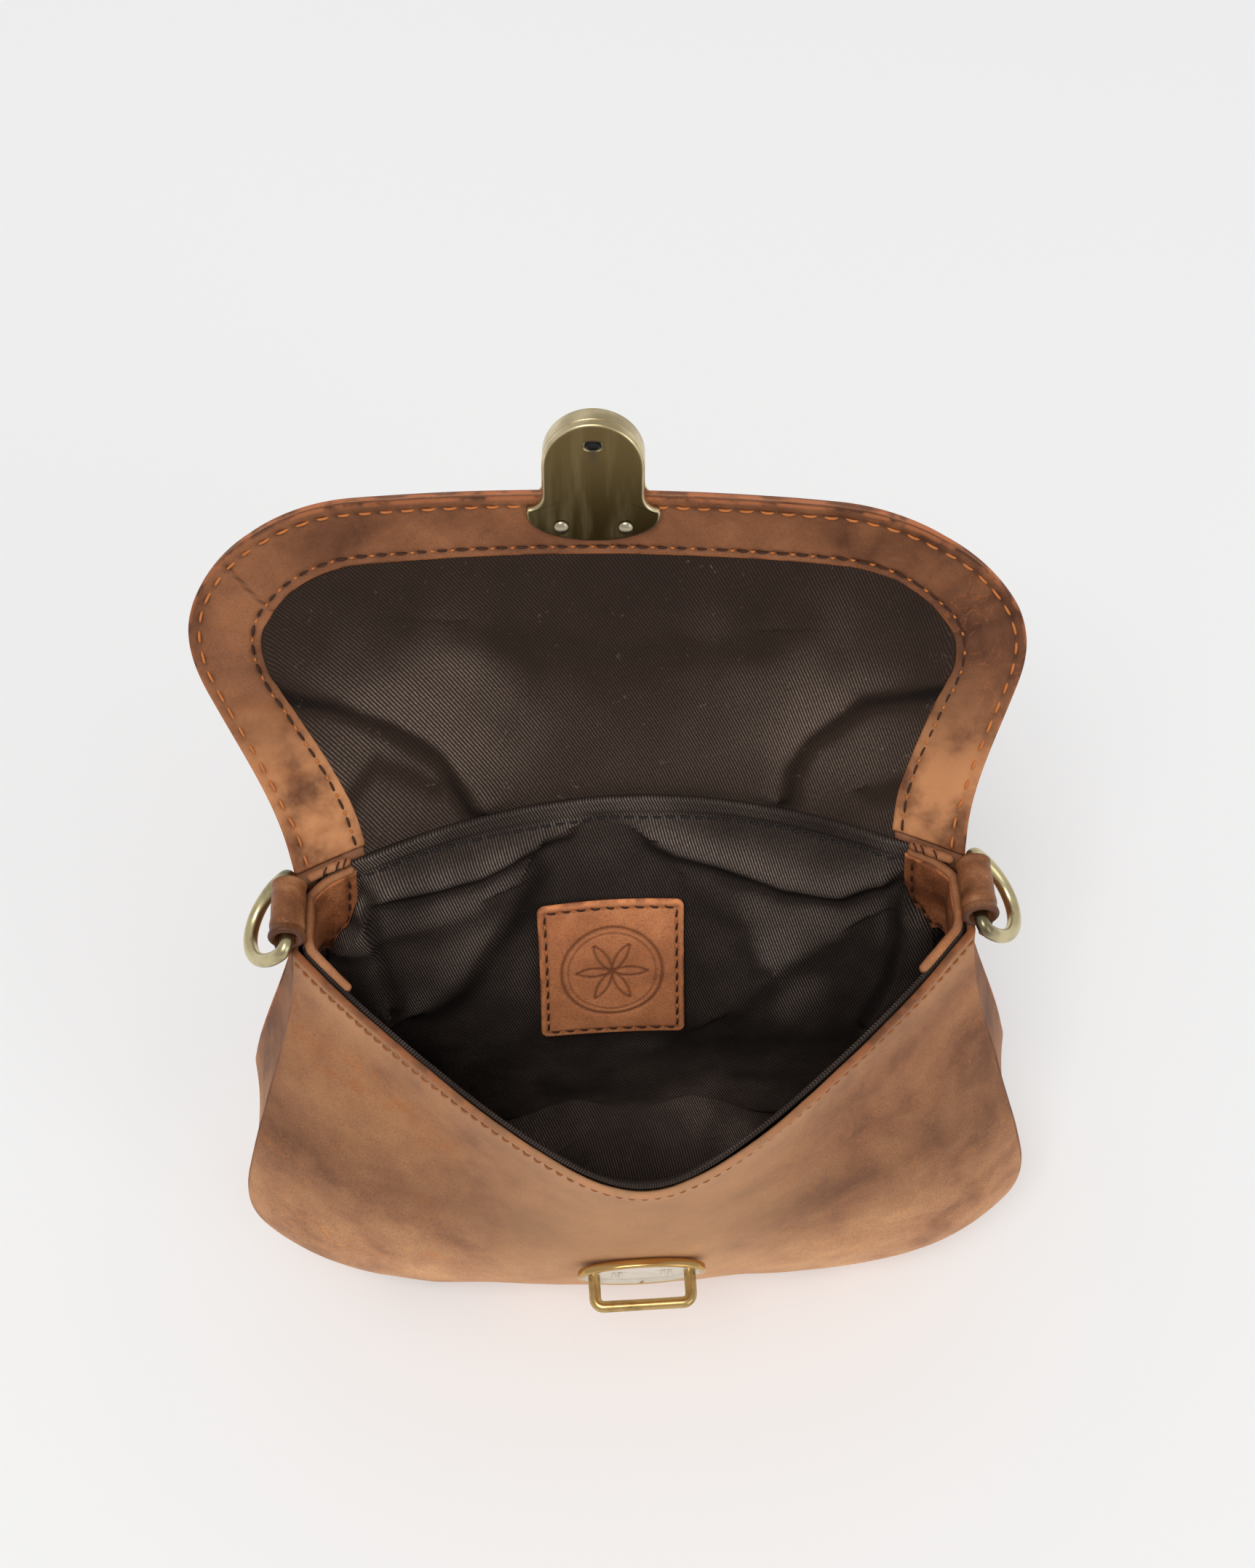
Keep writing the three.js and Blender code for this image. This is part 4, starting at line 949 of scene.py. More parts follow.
def stitch_row(name, path, out, pitch, length=0.72, radius=0.36, lift=0.16, offset=0.5, skew=0.0):
    """One low arch of thread per stitch: it sinks into the leather at both ends by the
    square of the way from its middle, and its thickness rounds off there."""
    walked = arc(path)
    count = int(walked[-1] // pitch)
    pitch = walked[-1] / count
    shake = np.random.default_rng(len(name) * 7 + count)
    middle = (np.arange(count) + offset) * pitch
    middle = middle[middle + 0.5 * pitch * length < walked[-1]]
    half = 0.5 * pitch * length * shake.uniform(0.9, 1.08, len(middle))
    place = middle[:, None] + half[:, None] * STITCH_SHAPE[None, :]
    spine = np.stack([np.interp(place, walked, path[:, k]) for k in range(3)], axis=-1)
    face = unit(np.stack([np.interp(place, walked, out[:, k]) for k in range(3)], axis=-1))
    along = unit(spine[:, -1:] - spine[:, :1])
    beside = np.cross(along, face)
    tilt = skew + shake.uniform(-0.1, 0.1, (len(middle), 1))
    rise = lift + radius * 0.3 - (lift + radius * 1.1) * STITCH_SHAPE[None, :] ** 2
    spine = spine + face * rise[..., None] + beside * (tilt * STITCH_SHAPE[None, :])[..., None]
    thick = radius * np.sqrt(1.02 - STITCH_SHAPE**4)
    angle = np.linspace(0, 2 * np.pi, 8, endpoint=False)
    ring = face[:, :, None] * np.cos(angle)[:, None] + beside[:, :, None] * np.sin(angle)[:, None]
    rings = spine[:, :, None] + ring * thick[None, :, None, None]
    stitches = [ring_skin(one) for one in rings]
    vertices, faces = joined(stitches)
    return put_mesh(name, vertices, faces)


def band_row(inset):
    """Path and outward directions of a row of stitches on the band."""
    x, l = row_place(inset)
    return flap_point(x, l, BAND_START + BAND_THICKNESS - 0.12 + 0 * l), flap_face(x, l)


stitch_row("stitches_band_outer", *band_row(OUTER_ROW), OUTER_PITCH, length=0.7, lift=0.14)
inner_row = *band_row(INNER_ROW), INNER_PITCH
# The inner row's long stitches are brown dashes that paint the thread in the shade of its groove, with
# short orange bits of lit thread between them
stitch_row("stitches_band_inner", *inner_row, length=0.66, radius=0.34, lift=0.02)
stitch_row("stitches_band_inner_bits", *inner_row, length=0.26, radius=0.34, lift=0.1, offset=1.0)

mouth_out = unit(np.gradient(mouth_path, axis=0))
mouth_up = front_at(front_s, front_share_below(front_s, MOUTH_SEAM - 2)) - mouth_path
mouth_out = unit(np.cross(mouth_out, mouth_up))
inner_part = slice(8, -8)
stitch_row(
    "stitches_mouth", mouth_path[inner_part] + 0.05 * mouth_out[inner_part], mouth_out[inner_part],
    MOUTH_PITCH, length=0.8, radius=0.33, lift=0.14,
)

for name, inset, pitch in (
    ("stitches_flap_back", OUTER_ROW, OUTER_PITCH),
    ("stitches_flap_back_inner", INNER_ROW, INNER_PITCH),
):
    place = row_place(inset)
    stitch_row(name, flap_at(*place), -flap_face(*place), pitch, length=0.62, lift=0.2)

# %% Stitches of the corner facings
FACING_PITCH = 4.2
FACING_STITCH_DEPTH = 1.88
# The dark thread starts, and the light one ends, at these points of the path
DARK_FROM, LIGHT_TO = 30, 34


def facing_row(side):
    """Path of the seam inside the free edges of a corner facing: along, then up the back."""
    share = np.linspace(0.3, 0.955, 60)
    climb = np.linspace(0, 1, 14)[1:]
    t = 1 - (FACING_DROP * from_table(FACING_DROPS, share) - FACING_SEAM) / SIDE_HEIGHT
    t = np.concatenate([t, mix(t[-1], 0.988, climb)])
    places = facing_station(side, np.concatenate([share, np.full(len(climb), share[-1])]))
    depth = sample(facing_depth, places, t) + FACING_STITCH_DEPTH
    return inside_point(places, t, depth), sample(inside_into, places, t)


for side, word in SIDES:
    path, out = facing_row(side)
    dark = path[DARK_FROM:], out[DARK_FROM:]
    light = path[:LIGHT_TO], out[:LIGHT_TO]
    stitch_row("stitches_facing_dark_" + word, *dark, FACING_PITCH, length=0.8, lift=0.12)
    stitch_row("stitches_facing_" + word, *light, FACING_PITCH, length=0.66, radius=0.34, lift=0.12)

# %% [markdown]
# A bead of folded leather binds the top of each corner facing, and a second short roll covers
# the joint at the hinge, crossed by a few brown threads. Both are round profiles carried along
# the mouth's edge.

# %% Rolled edges at the corners
BEAD_LIFT = 0.3
BEAD_DEPTH = LINING_DEPTH + 0.6
bead_share = np.linspace(0, 0.97, 110)
for side, word in SIDES:
    places = facing_station(side, bead_share)
    path = inside_point(places, np.ones(len(bead_share)), BEAD_DEPTH) + [0, 0, BEAD_LIFT]
    wobble = 1.2 + 0.16 * cloud(path, 5, 71)
    vertices, faces = ring_skin(carried(path, [0, 0, 1], wobble, sides=16, flat=0.95))
    put_mesh("corner_bead_" + word, vertices, faces)

# The roll runs between two places across the flap, at a length along it and a depth on it.
# Two necks, in twelfths of the roll, narrow it, and threads cross it at three shares.
HINGE_ROLL_FROM, HINGE_ROLL_TO = 85.5, 76.5
HINGE_ROLL_LENGTH, HINGE_ROLL_DEPTH = 1.4, 5.0
HINGE_ROLL_NECKS = (4.5, 8.8)
HINGE_THREADS = (0.37, 0.73, 0.93)
HINGE_THREAD_TURN = 1.3
ROLL_POINTS = 40
twelfths = np.linspace(0, 12, ROLL_POINTS)
turn = np.linspace(-0.2, np.pi + 0.2, 12)
for side, word in SIDES:
    x = side * np.linspace(HINGE_ROLL_FROM, HINGE_ROLL_TO, ROLL_POINTS)
    path = flap_point(x, np.full(ROLL_POINTS, HINGE_ROLL_LENGTH), np.full(ROLL_POINTS, HINGE_ROLL_DEPTH))
    wobble = 1.25 + 0.15 * cloud(path, 4, 73)
    for neck in HINGE_ROLL_NECKS:
        wobble = wobble - 0.25 * bell(twelfths - neck, 0.6)
    vertices, faces = ring_skin(carried(path, [0, 0, 1], wobble, sides=16, flat=0.9))
    put_mesh("hinge_roll_" + word, vertices, faces)
    crossings = []
    for place in HINGE_THREADS:
        around = np.outer(np.cos(turn), [0, 0, 1]) + np.outer(np.sin(turn), [0, -1, 0])
        loop = path[int(place * (ROLL_POINTS - 1))] + HINGE_THREAD_TURN * around
        loop = loop + np.outer(np.linspace(-0.8, 0.8, len(turn)), [side, 0, 0])
        crossings.append(ring_skin(carried(loop, [1, 0, 0], 0.24, sides=8)))
    vertices, faces = joined(crossings)
    put_mesh("hinge_threads_" + word, vertices, faces)

# %% Hem threads along the back of the mouth
HEM_REACH = 0.86
HEM_BELOW = 0.009
hem_stations = back_station(np.linspace(-HEM_REACH, HEM_REACH, 220))
hem_t = np.full(len(hem_stations), 1 - HEM_TALL - HEM_BELOW)
hem_into = sample(inside_into, hem_stations, hem_t)
hem_path = sample(lining_face, hem_stations, hem_t) + hem_into * 0.05
stitch_row("stitches_hem", hem_path, hem_into, 3.7, length=0.8, radius=0.36, lift=0.16)

# %% [markdown]
# The patch is a small plate of firm leather, sewn to the lining near its top. On the real bag
# such a patch often carries a stamp, and here it gets a traditional compass rosette inside
# two rings, pressed into the leather as relief and darkened in the hollows.

# %% Patch with a pressed rosette
PATCH_WIDTH, PATCH_HEIGHT, PATCH_ROUND = 40.5, 44.5, 2.2
PATCH_CENTRE_X, PATCH_CENTRE_Z = -5.6, 103.6
PATCH_SPREAD = 1.07
PATCH_THICKNESS = 1.6
PATCH_SEAM = 2.0
patch_u = rimmed(-PATCH_WIDTH / 2, PATCH_WIDTH / 2, 110, 0.8)
patch_v = rimmed(-PATCH_HEIGHT / 2, PATCH_HEIGHT / 2, 120, 0.8)
patch_x, patch_y = np.meshgrid(patch_u, patch_v)
corner_x = np.clip(np.abs(patch_x) - (PATCH_WIDTH / 2 - PATCH_ROUND), 0, None)
corner_y = np.clip(np.abs(patch_y) - (PATCH_HEIGHT / 2 - PATCH_ROUND), 0, None)
reach = np.hypot(corner_x, corner_y)
longest = np.maximum(corner_x, corner_y)
shrink = np.where(reach > 0, longest / np.maximum(reach, 1e-6), 1)
round_x = np.sign(patch_x) * (np.abs(patch_x) - corner_x * (1 - shrink))
round_y = np.sign(patch_y) * (np.abs(patch_y) - corner_y * (1 - shrink))

# The patch lies on a smooth sheet over the lining's folds, and its height is walked on the wall
PATCH_S = -0.06
wall_t = np.linspace(0, 1, 400)
wall_line = back_at(np.float64(PATCH_S), wall_t)
wall_stations = np.full(len(wall_t), back_station(PATCH_S))
wall_line[:, 1] -= sample(lining_depth[..., None], wall_stations, wall_t)[:, 0]
wall_walk = arc(wall_line)
middle_walk = np.interp(PATCH_CENTRE_Z, wall_line[:, 2], wall_walk)
under_patch = (LINING_DEPTH + sag + 1.1 + 1.6 * ease((1 - ring_t) / 0.07)[:, None])[..., None]


def on_patch(x, y, above=0.0):
    """Points of the patch at places in millimetres from its middle, and the ways into the bag."""
    t = np.interp(middle_walk + y, wall_walk, wall_t)
    places = back_station((PATCH_CENTRE_X + x) * PATCH_SPREAD / half_width(t * SIDE_HEIGHT))
    depth = sample(under_patch, places, t) + above
    return inside_point(places, t, depth), sample(inside_into, places, t)


patch_grid, patch_into = on_patch(round_x, round_y)


def rosette(x, y):
    """A compass rosette: six arcs of one radius about points on that circle, two rings."""
    petal = 10.0
    away = np.hypot(x, y)
    lines = bell(away - 14.2, 0.5) + 0.7 * bell(away - 12.4, 0.28) + bell(away, 0.9)
    for turn in np.arange(6) * np.pi / 3:
        arc_away = np.hypot(x - petal * np.cos(turn), y - petal * np.sin(turn))
        lines = lines + bell(arc_away - petal, 0.34) * (away < petal + 0.2)
    return np.clip(lines, 0, 1)


stamp = rosette(round_x, round_y)
frame_away = np.minimum(PATCH_WIDTH / 2 - np.abs(round_x), PATCH_HEIGHT / 2 - np.abs(round_y))
patch_seam = bell(frame_away - PATCH_SEAM, 0.5)
patch_relief = -0.34 * stamp - 0.3 * patch_seam + 0.08 * cloud(patch_grid, 5, 81)
# The seam mark paints shade in the stitch groove round the edge, and carries the stamp
patch_sheet = closed_sheet(
    patch_grid, patch_into, PATCH_THICKNESS, soft=0.8, relief=patch_relief, shown="inner",
    seam=points(0.8 * patch_seam, 0, stamp),
)
put_mesh("patch_leather", *patch_sheet, node="inner_patch")

# %% Stitches of the patch
PATCH_PITCH = 4.0
STITCH_SINK = 0.22
inset_u, inset_v = PATCH_WIDTH / 2 - PATCH_SEAM, PATCH_HEIGHT / 2 - PATCH_SEAM
level_line, upright_line = np.linspace(-inset_u, inset_u, 60), np.linspace(-inset_v, inset_v, 60)
sides_of_patch = {
    "left": (-inset_u + 0 * upright_line, upright_line),
    "right": (inset_u + 0 * upright_line, upright_line),
    "top": (level_line, inset_v + 0 * level_line),
    "bottom": (level_line, -inset_v + 0 * level_line),
}
for word, line in sides_of_patch.items():
    row = *on_patch(*line, above=PATCH_THICKNESS - STITCH_SINK), PATCH_PITCH
    stitch_row("stitches_patch_" + word, *row, length=0.72, radius=0.3, lift=0.1, skew=0.22)
    stitch_row("stitches_patch_bits_" + word, *row, length=0.22, radius=0.3, offset=1.0)

# %% [markdown]
# Each ring hangs in a strap that is wrapped round its straight bar and sewn down outside the
# gusset. The strap is a strip, bent along a path: up the gusset, once round the bar and down
# behind itself. Its front end is flared, and wear has pressed it into two lips.

# %% Ring tabs
RING_WIRE = 1.85
BORE = RING_WIRE + 0.6
TAB_WALL = 2
TAB_RADIUS = BORE + TAB_WALL
TAIL_BOTTOM = SIDE_HEIGHT - 10
TAIL_MIDDLE = 1.5
TAIL_NARROW = 0.72
# The solid's tail clears the gusset at this distance below the mouth, and this one lies with it
TAIL_FIT, TAIL_CLEAR = 14, 0.5
TAIL_INNER = float(half_width(np.float64(SIDE_HEIGHT - TAIL_FIT))) + TAIL_CLEAR
TAIL_OUTER = TAIL_INNER + TAB_WALL
TAB_X = TAIL_OUTER - 0.8 * TAB_RADIUS
TAB_Z = SIDE_HEIGHT + 0.5 + TAB_RADIUS
TAB_LENGTH = 17
TAB_SHIFT = -1.4
print("tab centre", round(TAB_X, 2), round(TAB_Z, 2), "radius", round(TAB_RADIUS, 2))

tab_start = np.arccos((TAIL_OUTER - TAB_WALL / 2 - TAB_X) / (TAB_RADIUS - TAB_WALL / 2)) * -1
tab_turn = np.linspace(tab_start, np.radians(285), 84)
straight_z = np.linspace(TAIL_BOTTOM, TAB_Z + (TAB_RADIUS - 1) * np.sin(tab_start), 22)[:-1]
tab_y = rimmed(TAB_SHIFT - TAB_LENGTH / 2, TAB_SHIFT + TAB_LENGTH / 2, 34, 0.9)
from_mouth = tab_y - tab_y[0]
from_back = tab_y[-1] - tab_y
flare = 0.45 * bell(from_mouth, 2.4) - 0.28 * bell(from_mouth - 2.5, 0.8)
flare = flare + 0.22 * bell(from_mouth - 4.0, 1.2)
flare = flare + 0.25 * bell(from_back, 1.6) - 0.15 * bell(from_back - 2.4, 0.7)


def tab_path(radius):
    """The strap's middle line at a radius: a straight tail, then nearly a full turn."""
    tail = points(TAIL_INNER + 1 + 0 * straight_z, 0, straight_z)
    turn = points(TAB_X + radius * np.cos(tab_turn), 0, TAB_Z + radius * np.sin(tab_turn))
    return np.concatenate([tail, turn])


tab_rows = np.stack([tab_path(TAB_RADIUS - TAB_WALL / 2 + bulge) for bulge in flare], axis=1)
tab_rows[..., 1] = tab_y[None, :]
tab_rows[: len(straight_z), :, 0] = (TAIL_INNER + 1) + 0.2 * np.abs(flare)[None, :]
tail_share = ease((straight_z - TAIL_BOTTOM) / (straight_z[-1] - TAIL_BOTTOM))[:, None]
tab_rows[: len(straight_z), :, 1] = TAIL_MIDDLE + (tab_y - TAIL_MIDDLE) * mix(TAIL_NARROW, 1, tail_share)
tab_normal = grid_normals(tab_rows)
toward_bore = np.array([TAB_X, 0, TAB_Z]) - tab_rows * [1, 0, 1]
tab_normal *= np.sign((tab_normal * toward_bore)[len(straight_z) :].sum())
tab_grid = tab_rows - tab_normal * (TAB_WALL / 2)
tab_grid = tab_grid - tab_normal * hills(tab_grid, (0.16, 6, 91), (0.07, 2.5, 92))[..., None]
# Painted shade in the creases of the two lips at the strap's flared front end
lip_crease_shade = np.clip(bell(from_mouth, 1.5) + 0.8 * bell(from_mouth - 2.5, 0.5), 0, 1)[None, :]
tab_seam = points(0.75 * lip_crease_shade, 0 * tab_grid[..., 0], 0)
vertices, faces, marks = closed_sheet(tab_grid, tab_normal, TAB_WALL, soft=0.85, seam=tab_seam)
for side, word in SIDES:
    put_mesh("ring_strap_" + word, vertices * [side, 1, 1], faces, marks, node="ring_tab_" + word)

# %% Stitches of the tabs' tails
tail_z = TAIL_BOTTOM + 2.4
tail_path_y = TAIL_MIDDLE + np.linspace(-0.3, 0.22, 40) * TAB_LENGTH
for side, word in SIDES:
    path = points(side * (TAIL_OUTER + 0.02) + 0 * tail_path_y, tail_path_y, tail_z)
    out = points(side + 0 * tail_path_y, 0, 0)
    stitch_row("stitches_tab_" + word, path, out, 3.4, length=0.7, radius=0.34, lift=0.15)

# %% [markdown]
# The rings are bent from brass wire: a straight bar in the strap, two tight corners and half
# an ellipse. The path lies in one plane, so the direction across that plane stays the same all
# the way round, and the profile never twists.

# %% Rings
RING_REACH = 17
RING_CORNER = 2.6
RING_DROOP = np.radians(48)
bar_half = TAB_LENGTH / 2 + 0.5
bend = np.linspace(0, np.pi / 2, 10)
bow = np.linspace(0, np.pi, 60)[1:-1]
bar_y = np.linspace(-bar_half, bar_half, 24)[:-1]
ring_y = np.concatenate(
    [
        bar_y,
        bar_half + RING_CORNER * np.sin(bend),
        (bar_half + RING_CORNER) * np.cos(bow),
        -bar_half - RING_CORNER * np.sin(bend[::-1])[:-1],
    ]
)
ring_out = np.concatenate(
    [
        np.zeros(len(bar_y)),
        RING_CORNER * (1 - np.cos(bend)),
        RING_CORNER + (RING_REACH - RING_CORNER) * np.sin(bow),
        RING_CORNER * (1 - np.cos(bend[::-1]))[:-1],
    ]
)
outward = np.array([np.cos(RING_DROOP), 0, -np.sin(RING_DROOP)])
ring_normal = np.array([np.sin(RING_DROOP), 0, np.cos(RING_DROOP)])
ring_path = points(TAB_X, TAB_SHIFT + ring_y, TAB_Z) + ring_out[:, None] * outward
ring_rings = carried(ring_path, ring_normal, RING_WIRE, sides=24, closed=True)
vertices, faces = ring_skin(ring_rings, poles=False)
for side, word in SIDES:
    mirrored = vertices * [side, 1, 1]
    put_mesh("brass_ring_" + word, mirrored, faces, body=word + "_ring", node="ring_" + word)

# %% [markdown]
# The clasp is a thick cast tongue that grips the flap's edge between two plates. It is built
# from rings of one outline that step inwards and upwards over its rounded edge, then run
# across the face to the keyhole and down into it, so that one closed skin holds the hole.

# %% Outline of the clasp
TONGUE_HALF, TONGUE_LENGTH = 13.0, 23
WING_HALF, WING_TOP, WING_LOW = 17.2, -2.2, -12
WING_ROUND = 1.6
FILLET = 4.2
FILLET_WIDE = FILLET * 0.82


def clasp_outline():
    """Half the outline from the tip down: a half circle, a straight side, a hollow fillet
    out to a round wing, and half an ellipse under it. The other half mirrors it."""
    top = np.linspace(np.pi / 2, 0, 40)
    tip = np.stack([TONGUE_HALF * np.cos(top), TONGUE_LENGTH - TONGUE_HALF + TONGUE_HALF * np.sin(top)], -1)
    straight = np.linspace(TONGUE_LENGTH - TONGUE_HALF, WING_TOP + FILLET, 14)[1:]
    side = np.stack([np.full(len(straight), TONGUE_HALF), straight], -1)
    hollow = np.linspace(np.pi, 1.5 * np.pi, 14)[1:]
    centre = np.array([TONGUE_HALF + FILLET_WIDE, WING_TOP + FILLET])
    fillet = centre + np.stack([FILLET_WIDE * np.cos(hollow), FILLET * np.sin(hollow)], -1)
    nose = np.linspace(np.pi / 2, -0.35, 12)[1:]
    nose_size = WING_HALF - centre[0]
    wing = np.stack([nose_size * np.cos(nose), WING_ROUND * np.sin(nose)], -1)
    wing = wing + [centre[0], WING_TOP - WING_ROUND]
    under = np.linspace(0.06, np.pi / 2, 34)[1:]
    start = wing[-1]
    belly = np.stack([start[0] * np.cos(under), start[1] + (WING_LOW - start[1]) * np.sin(under)], -1)
    right = np.concatenate([tip, side, fillet, wing, belly])
    left = (right * [-1, 1])[1:-1][::-1]
    return np.concatenate([right, left])


outline = clasp_outline()
for _ in range(2):
    outline = (np.roll(outline, 1, 0) + 2 * outline + np.roll(outline, -1, 0)) / 4
print("clasp outline has", len(outline), "points")


def inset_outline(outline, inset):
    """Every point moved inwards along the normal of the outline there."""
    along = unit(np.roll(outline, -1, 0) - np.roll(outline, 1, 0))
    return outline + inset * np.stack([along[:, 1], -along[:, 0]], -1)


def level(outline, height):
    """The outline as a ring of points at a height."""
    return points(outline[:, 0], outline[:, 1], height)


def rounded_levels(outline, low, high, soft):
    """Rings that round the lower edge, climb the wall and round the upper edge."""
    turn = np.linspace(0, np.pi / 2, 7)
    more, less = soft * (1 - np.sin(turn)), soft * (1 - np.cos(turn))
    lower = [level(inset_outline(outline, inset), low + up) for inset, up in zip(more, less)]
    upper = [level(inset_outline(outline, inset), high - down) for inset, down in zip(less, more)]
    return lower + upper


def to_middle(ring, middle, shares):
    """Rings that shrink a flat ring towards a middle point, to fill its face."""
    centre = np.array([middle[0], middle[1], ring[0, 2]])
    return [mix(centre, ring, share) for share in shares]


def filled(rings, middle, below, above=()):
    """The rings, with the face under the first and the face over the last filled."""
    return to_middle(rings[0], middle, below) + rings + to_middle(rings[-1], middle, above)


# %% Frames of the clasp and of the catch
def flap_end(x, short=0):
    """A place on the flap's end edge, or a little short of it."""
    return flap_at(np.float64(x), np.float64(FLAP_LENGTH - short))


clasp_origin = flap_end(0)
clasp_up = unit(clasp_origin - flap_end(0, 2))
clasp_side = unit(flap_end(2) - flap_end(-2))
clasp_up = unit(clasp_up - clasp_side * (clasp_up @ clasp_side))
clasp_frame = np.stack([clasp_side, clasp_up, np.cross(clasp_side, clasp_up)])

# The catch's height share, half way along a hyperbola that rises slowly at first
CATCH_SHARE, CATCH_BEND = 0.5, 0.22
CATCH_STEP = 0.004
catch_t = np.sqrt(CATCH_SHARE**2 + CATCH_BEND**2) - CATCH_BEND
catch_t = catch_t / (np.sqrt(1 + CATCH_BEND**2) - CATCH_BEND)
catch_origin = front_at(np.float64(0), catch_t)
catch_along = front_at(np.float64(CATCH_STEP), catch_t) - front_at(np.float64(-CATCH_STEP), catch_t)
catch_rise = front_at(np.float64(0), catch_t + CATCH_STEP) - front_at(np.float64(0), catch_t - CATCH_STEP)
catch_out = unit(np.cross(catch_along, catch_rise))
catch_up = unit(np.cross(catch_out, [1, 0, 0]))
catch_frame = np.stack([np.cross(catch_up, catch_out), catch_up, catch_out])
catch_origin = catch_origin + 0.5 * catch_out
print("clasp stands at", clasp_origin.round(1), "and the catch at", catch_origin.round(1))


def placed(local, origin, axes):
    """Points of a local frame in the frame of the bag."""
    return origin + local @ axes


# %% Clasp body
CLASP_BACK, CLASP_FACE = -1.7, 6.2
CLASP_PLATE = 1.3
KEY_X, KEY_Y, KEY_DEEP = 0.0, 16.6, 2.2
KEY_HALF_WIDTH, KEY_HALF_HEIGHT = 1.9, 1.15
OVAL_HALF_WIDTH, OVAL_HALF_HEIGHT, OVAL_Y, LOOK_Y = 8.0, 15.0, 5.0, 3.0
look = np.arctan2(outline[:, 1] - LOOK_Y, outline[:, 0])
# Where a ray from the look-out point meets the ellipse: the root of a quadratic
a_term = (np.cos(look) / OVAL_HALF_WIDTH) ** 2 + (np.sin(look) / OVAL_HALF_HEIGHT) ** 2
b_term = 2 * (LOOK_Y - OVAL_Y) * np.sin(look) / OVAL_HALF_HEIGHT**2
c_term = ((LOOK_Y - OVAL_Y) / OVAL_HALF_HEIGHT) ** 2 - 1
ray = (-b_term + np.sqrt(b_term**2 - 4 * a_term * c_term)) / (2 * a_term)
face_oval = np.stack([ray * np.cos(look), LOOK_Y + ray * np.sin(look)], -1)
key_angle = np.arctan2(face_oval[:, 1] - KEY_Y, face_oval[:, 0])
key_round = (np.abs(np.cos(key_angle)) ** 4 + np.abs(np.sin(key_angle)) ** 4) ** -0.25
key_shape = np.stack(
    [KEY_HALF_WIDTH * key_round * np.cos(key_angle),
     KEY_Y + KEY_HALF_HEIGHT * key_round * np.sin(key_angle)], -1
)


def key_ring(grow, height):
    """The keyhole's outline, grown about its middle, at a height."""
    centre = np.array([KEY_X, KEY_Y])
    return level(centre + (key_shape - centre) * grow, height)


above_slot = outline.copy()
above_slot[:, 1] = np.maximum(above_slot[:, 1], 0.4)
above_slot[:, 0] = np.clip(above_slot[:, 0], -TONGUE_HALF, TONGUE_HALF)
BLOCK_MIDDLE, PLATE_MIDDLE = (0, 6), (0, 4)
block_rings = rounded_levels(above_slot, CLASP_BACK + 0.4, CLASP_FACE - 2.6, 0.3)
block_rings = filled(block_rings, BLOCK_MIDDLE, [0.02, 0.5], [0.5, 0.02])
back_plate = rounded_levels(outline, CLASP_BACK, CLASP_BACK + CLASP_PLATE, 0.5)
back_plate = filled(back_plate, PLATE_MIDDLE, [0.02, 0.4, 0.8], [0.6, 0.02])
face_plate = rounded_levels(outline, CLASP_FACE - 2.8, CLASP_FACE, 0.95)
face_plate = filled(face_plate, PLATE_MIDDLE, [0.02, 0.6])
rim_ring = face_plate[-1]
oval_ring = level(face_oval, CLASP_FACE)
face_fill = [mix(rim_ring, oval_ring, share) for share in np.linspace(0, 1, 5)[1:]]
face_fill += [mix(oval_ring, key_ring(1.3, CLASP_FACE), share) for share in np.linspace(0, 1, 6)[1:]]
# Rings down into the keyhole: how far each is grown, and its depth
HOLE_RINGS = [(1.12, 0.12), (1.0, 0.5), (0.96, KEY_DEEP), (0.1, KEY_DEEP)]
hole = [key_ring(grow, CLASP_FACE - deep) for grow, deep in HOLE_RINGS]
face_plate = face_plate + face_fill + hole
local, faces = joined([ring_skin(np.stack(rings)) for rings in (block_rings, back_plate, face_plate)])
in_key = np.clip(1.25 - np.hypot(local[:, 0] / 2.1, (local[:, 1] - KEY_Y) / 1.35), 0, 1) * 4
# The first part of the face mark is 1 only on the flat top, so the rounded edge takes the pale wall colour
# as a painted highlight
face_mark = points(
    np.clip((local[:, 2] - (CLASP_FACE - 0.12)) / 0.12, 0, 1), local[:, 1] / 30, np.clip(in_key, 0, 1)
)
vertices = placed(local, clasp_origin, clasp_frame)
put_mesh("clasp_casting", vertices, faces, {"face": face_mark}, node="clasp_body")

# %% Clasp rivets
RIVET_X, RIVET_Y = 8.2, -7.4
dome = np.linspace(0, np.pi / 2, 10)
rivet_profile = [(1.0, -1.2), (1.0, 0.05), (1.85, 0.08), (2.0, 0.25)]
rivet_profile += [(2.0 * np.cos(a), 0.25 + 0.95 * np.sin(a)) for a in dome[1:-1]] + [(0.05, 1.2)]
round_about = np.linspace(0, 2 * np.pi, 32, endpoint=False)
rivet_rings = np.stack(
    [points(r * np.cos(round_about), r * np.sin(round_about), CLASP_FACE + h) for r, h in rivet_profile]
)
for side, word in SIDES:
    vertices, faces = ring_skin(rivet_rings + [side * RIVET_X, RIVET_Y, 0])
    put_mesh(
        "clasp_rivet_head_" + word, placed(vertices, clasp_origin, clasp_frame), faces,
        node="clasp_rivet_" + word,
    )

# %% [markdown]
# The catch is an oval plate with a polished brass rim and a pale face, held by two small bent
# prongs, and a bail of round wire, bent square, that the tongue slips through. The plate is made
# like the clasp, from rings of its outline, and the bail like the rings.

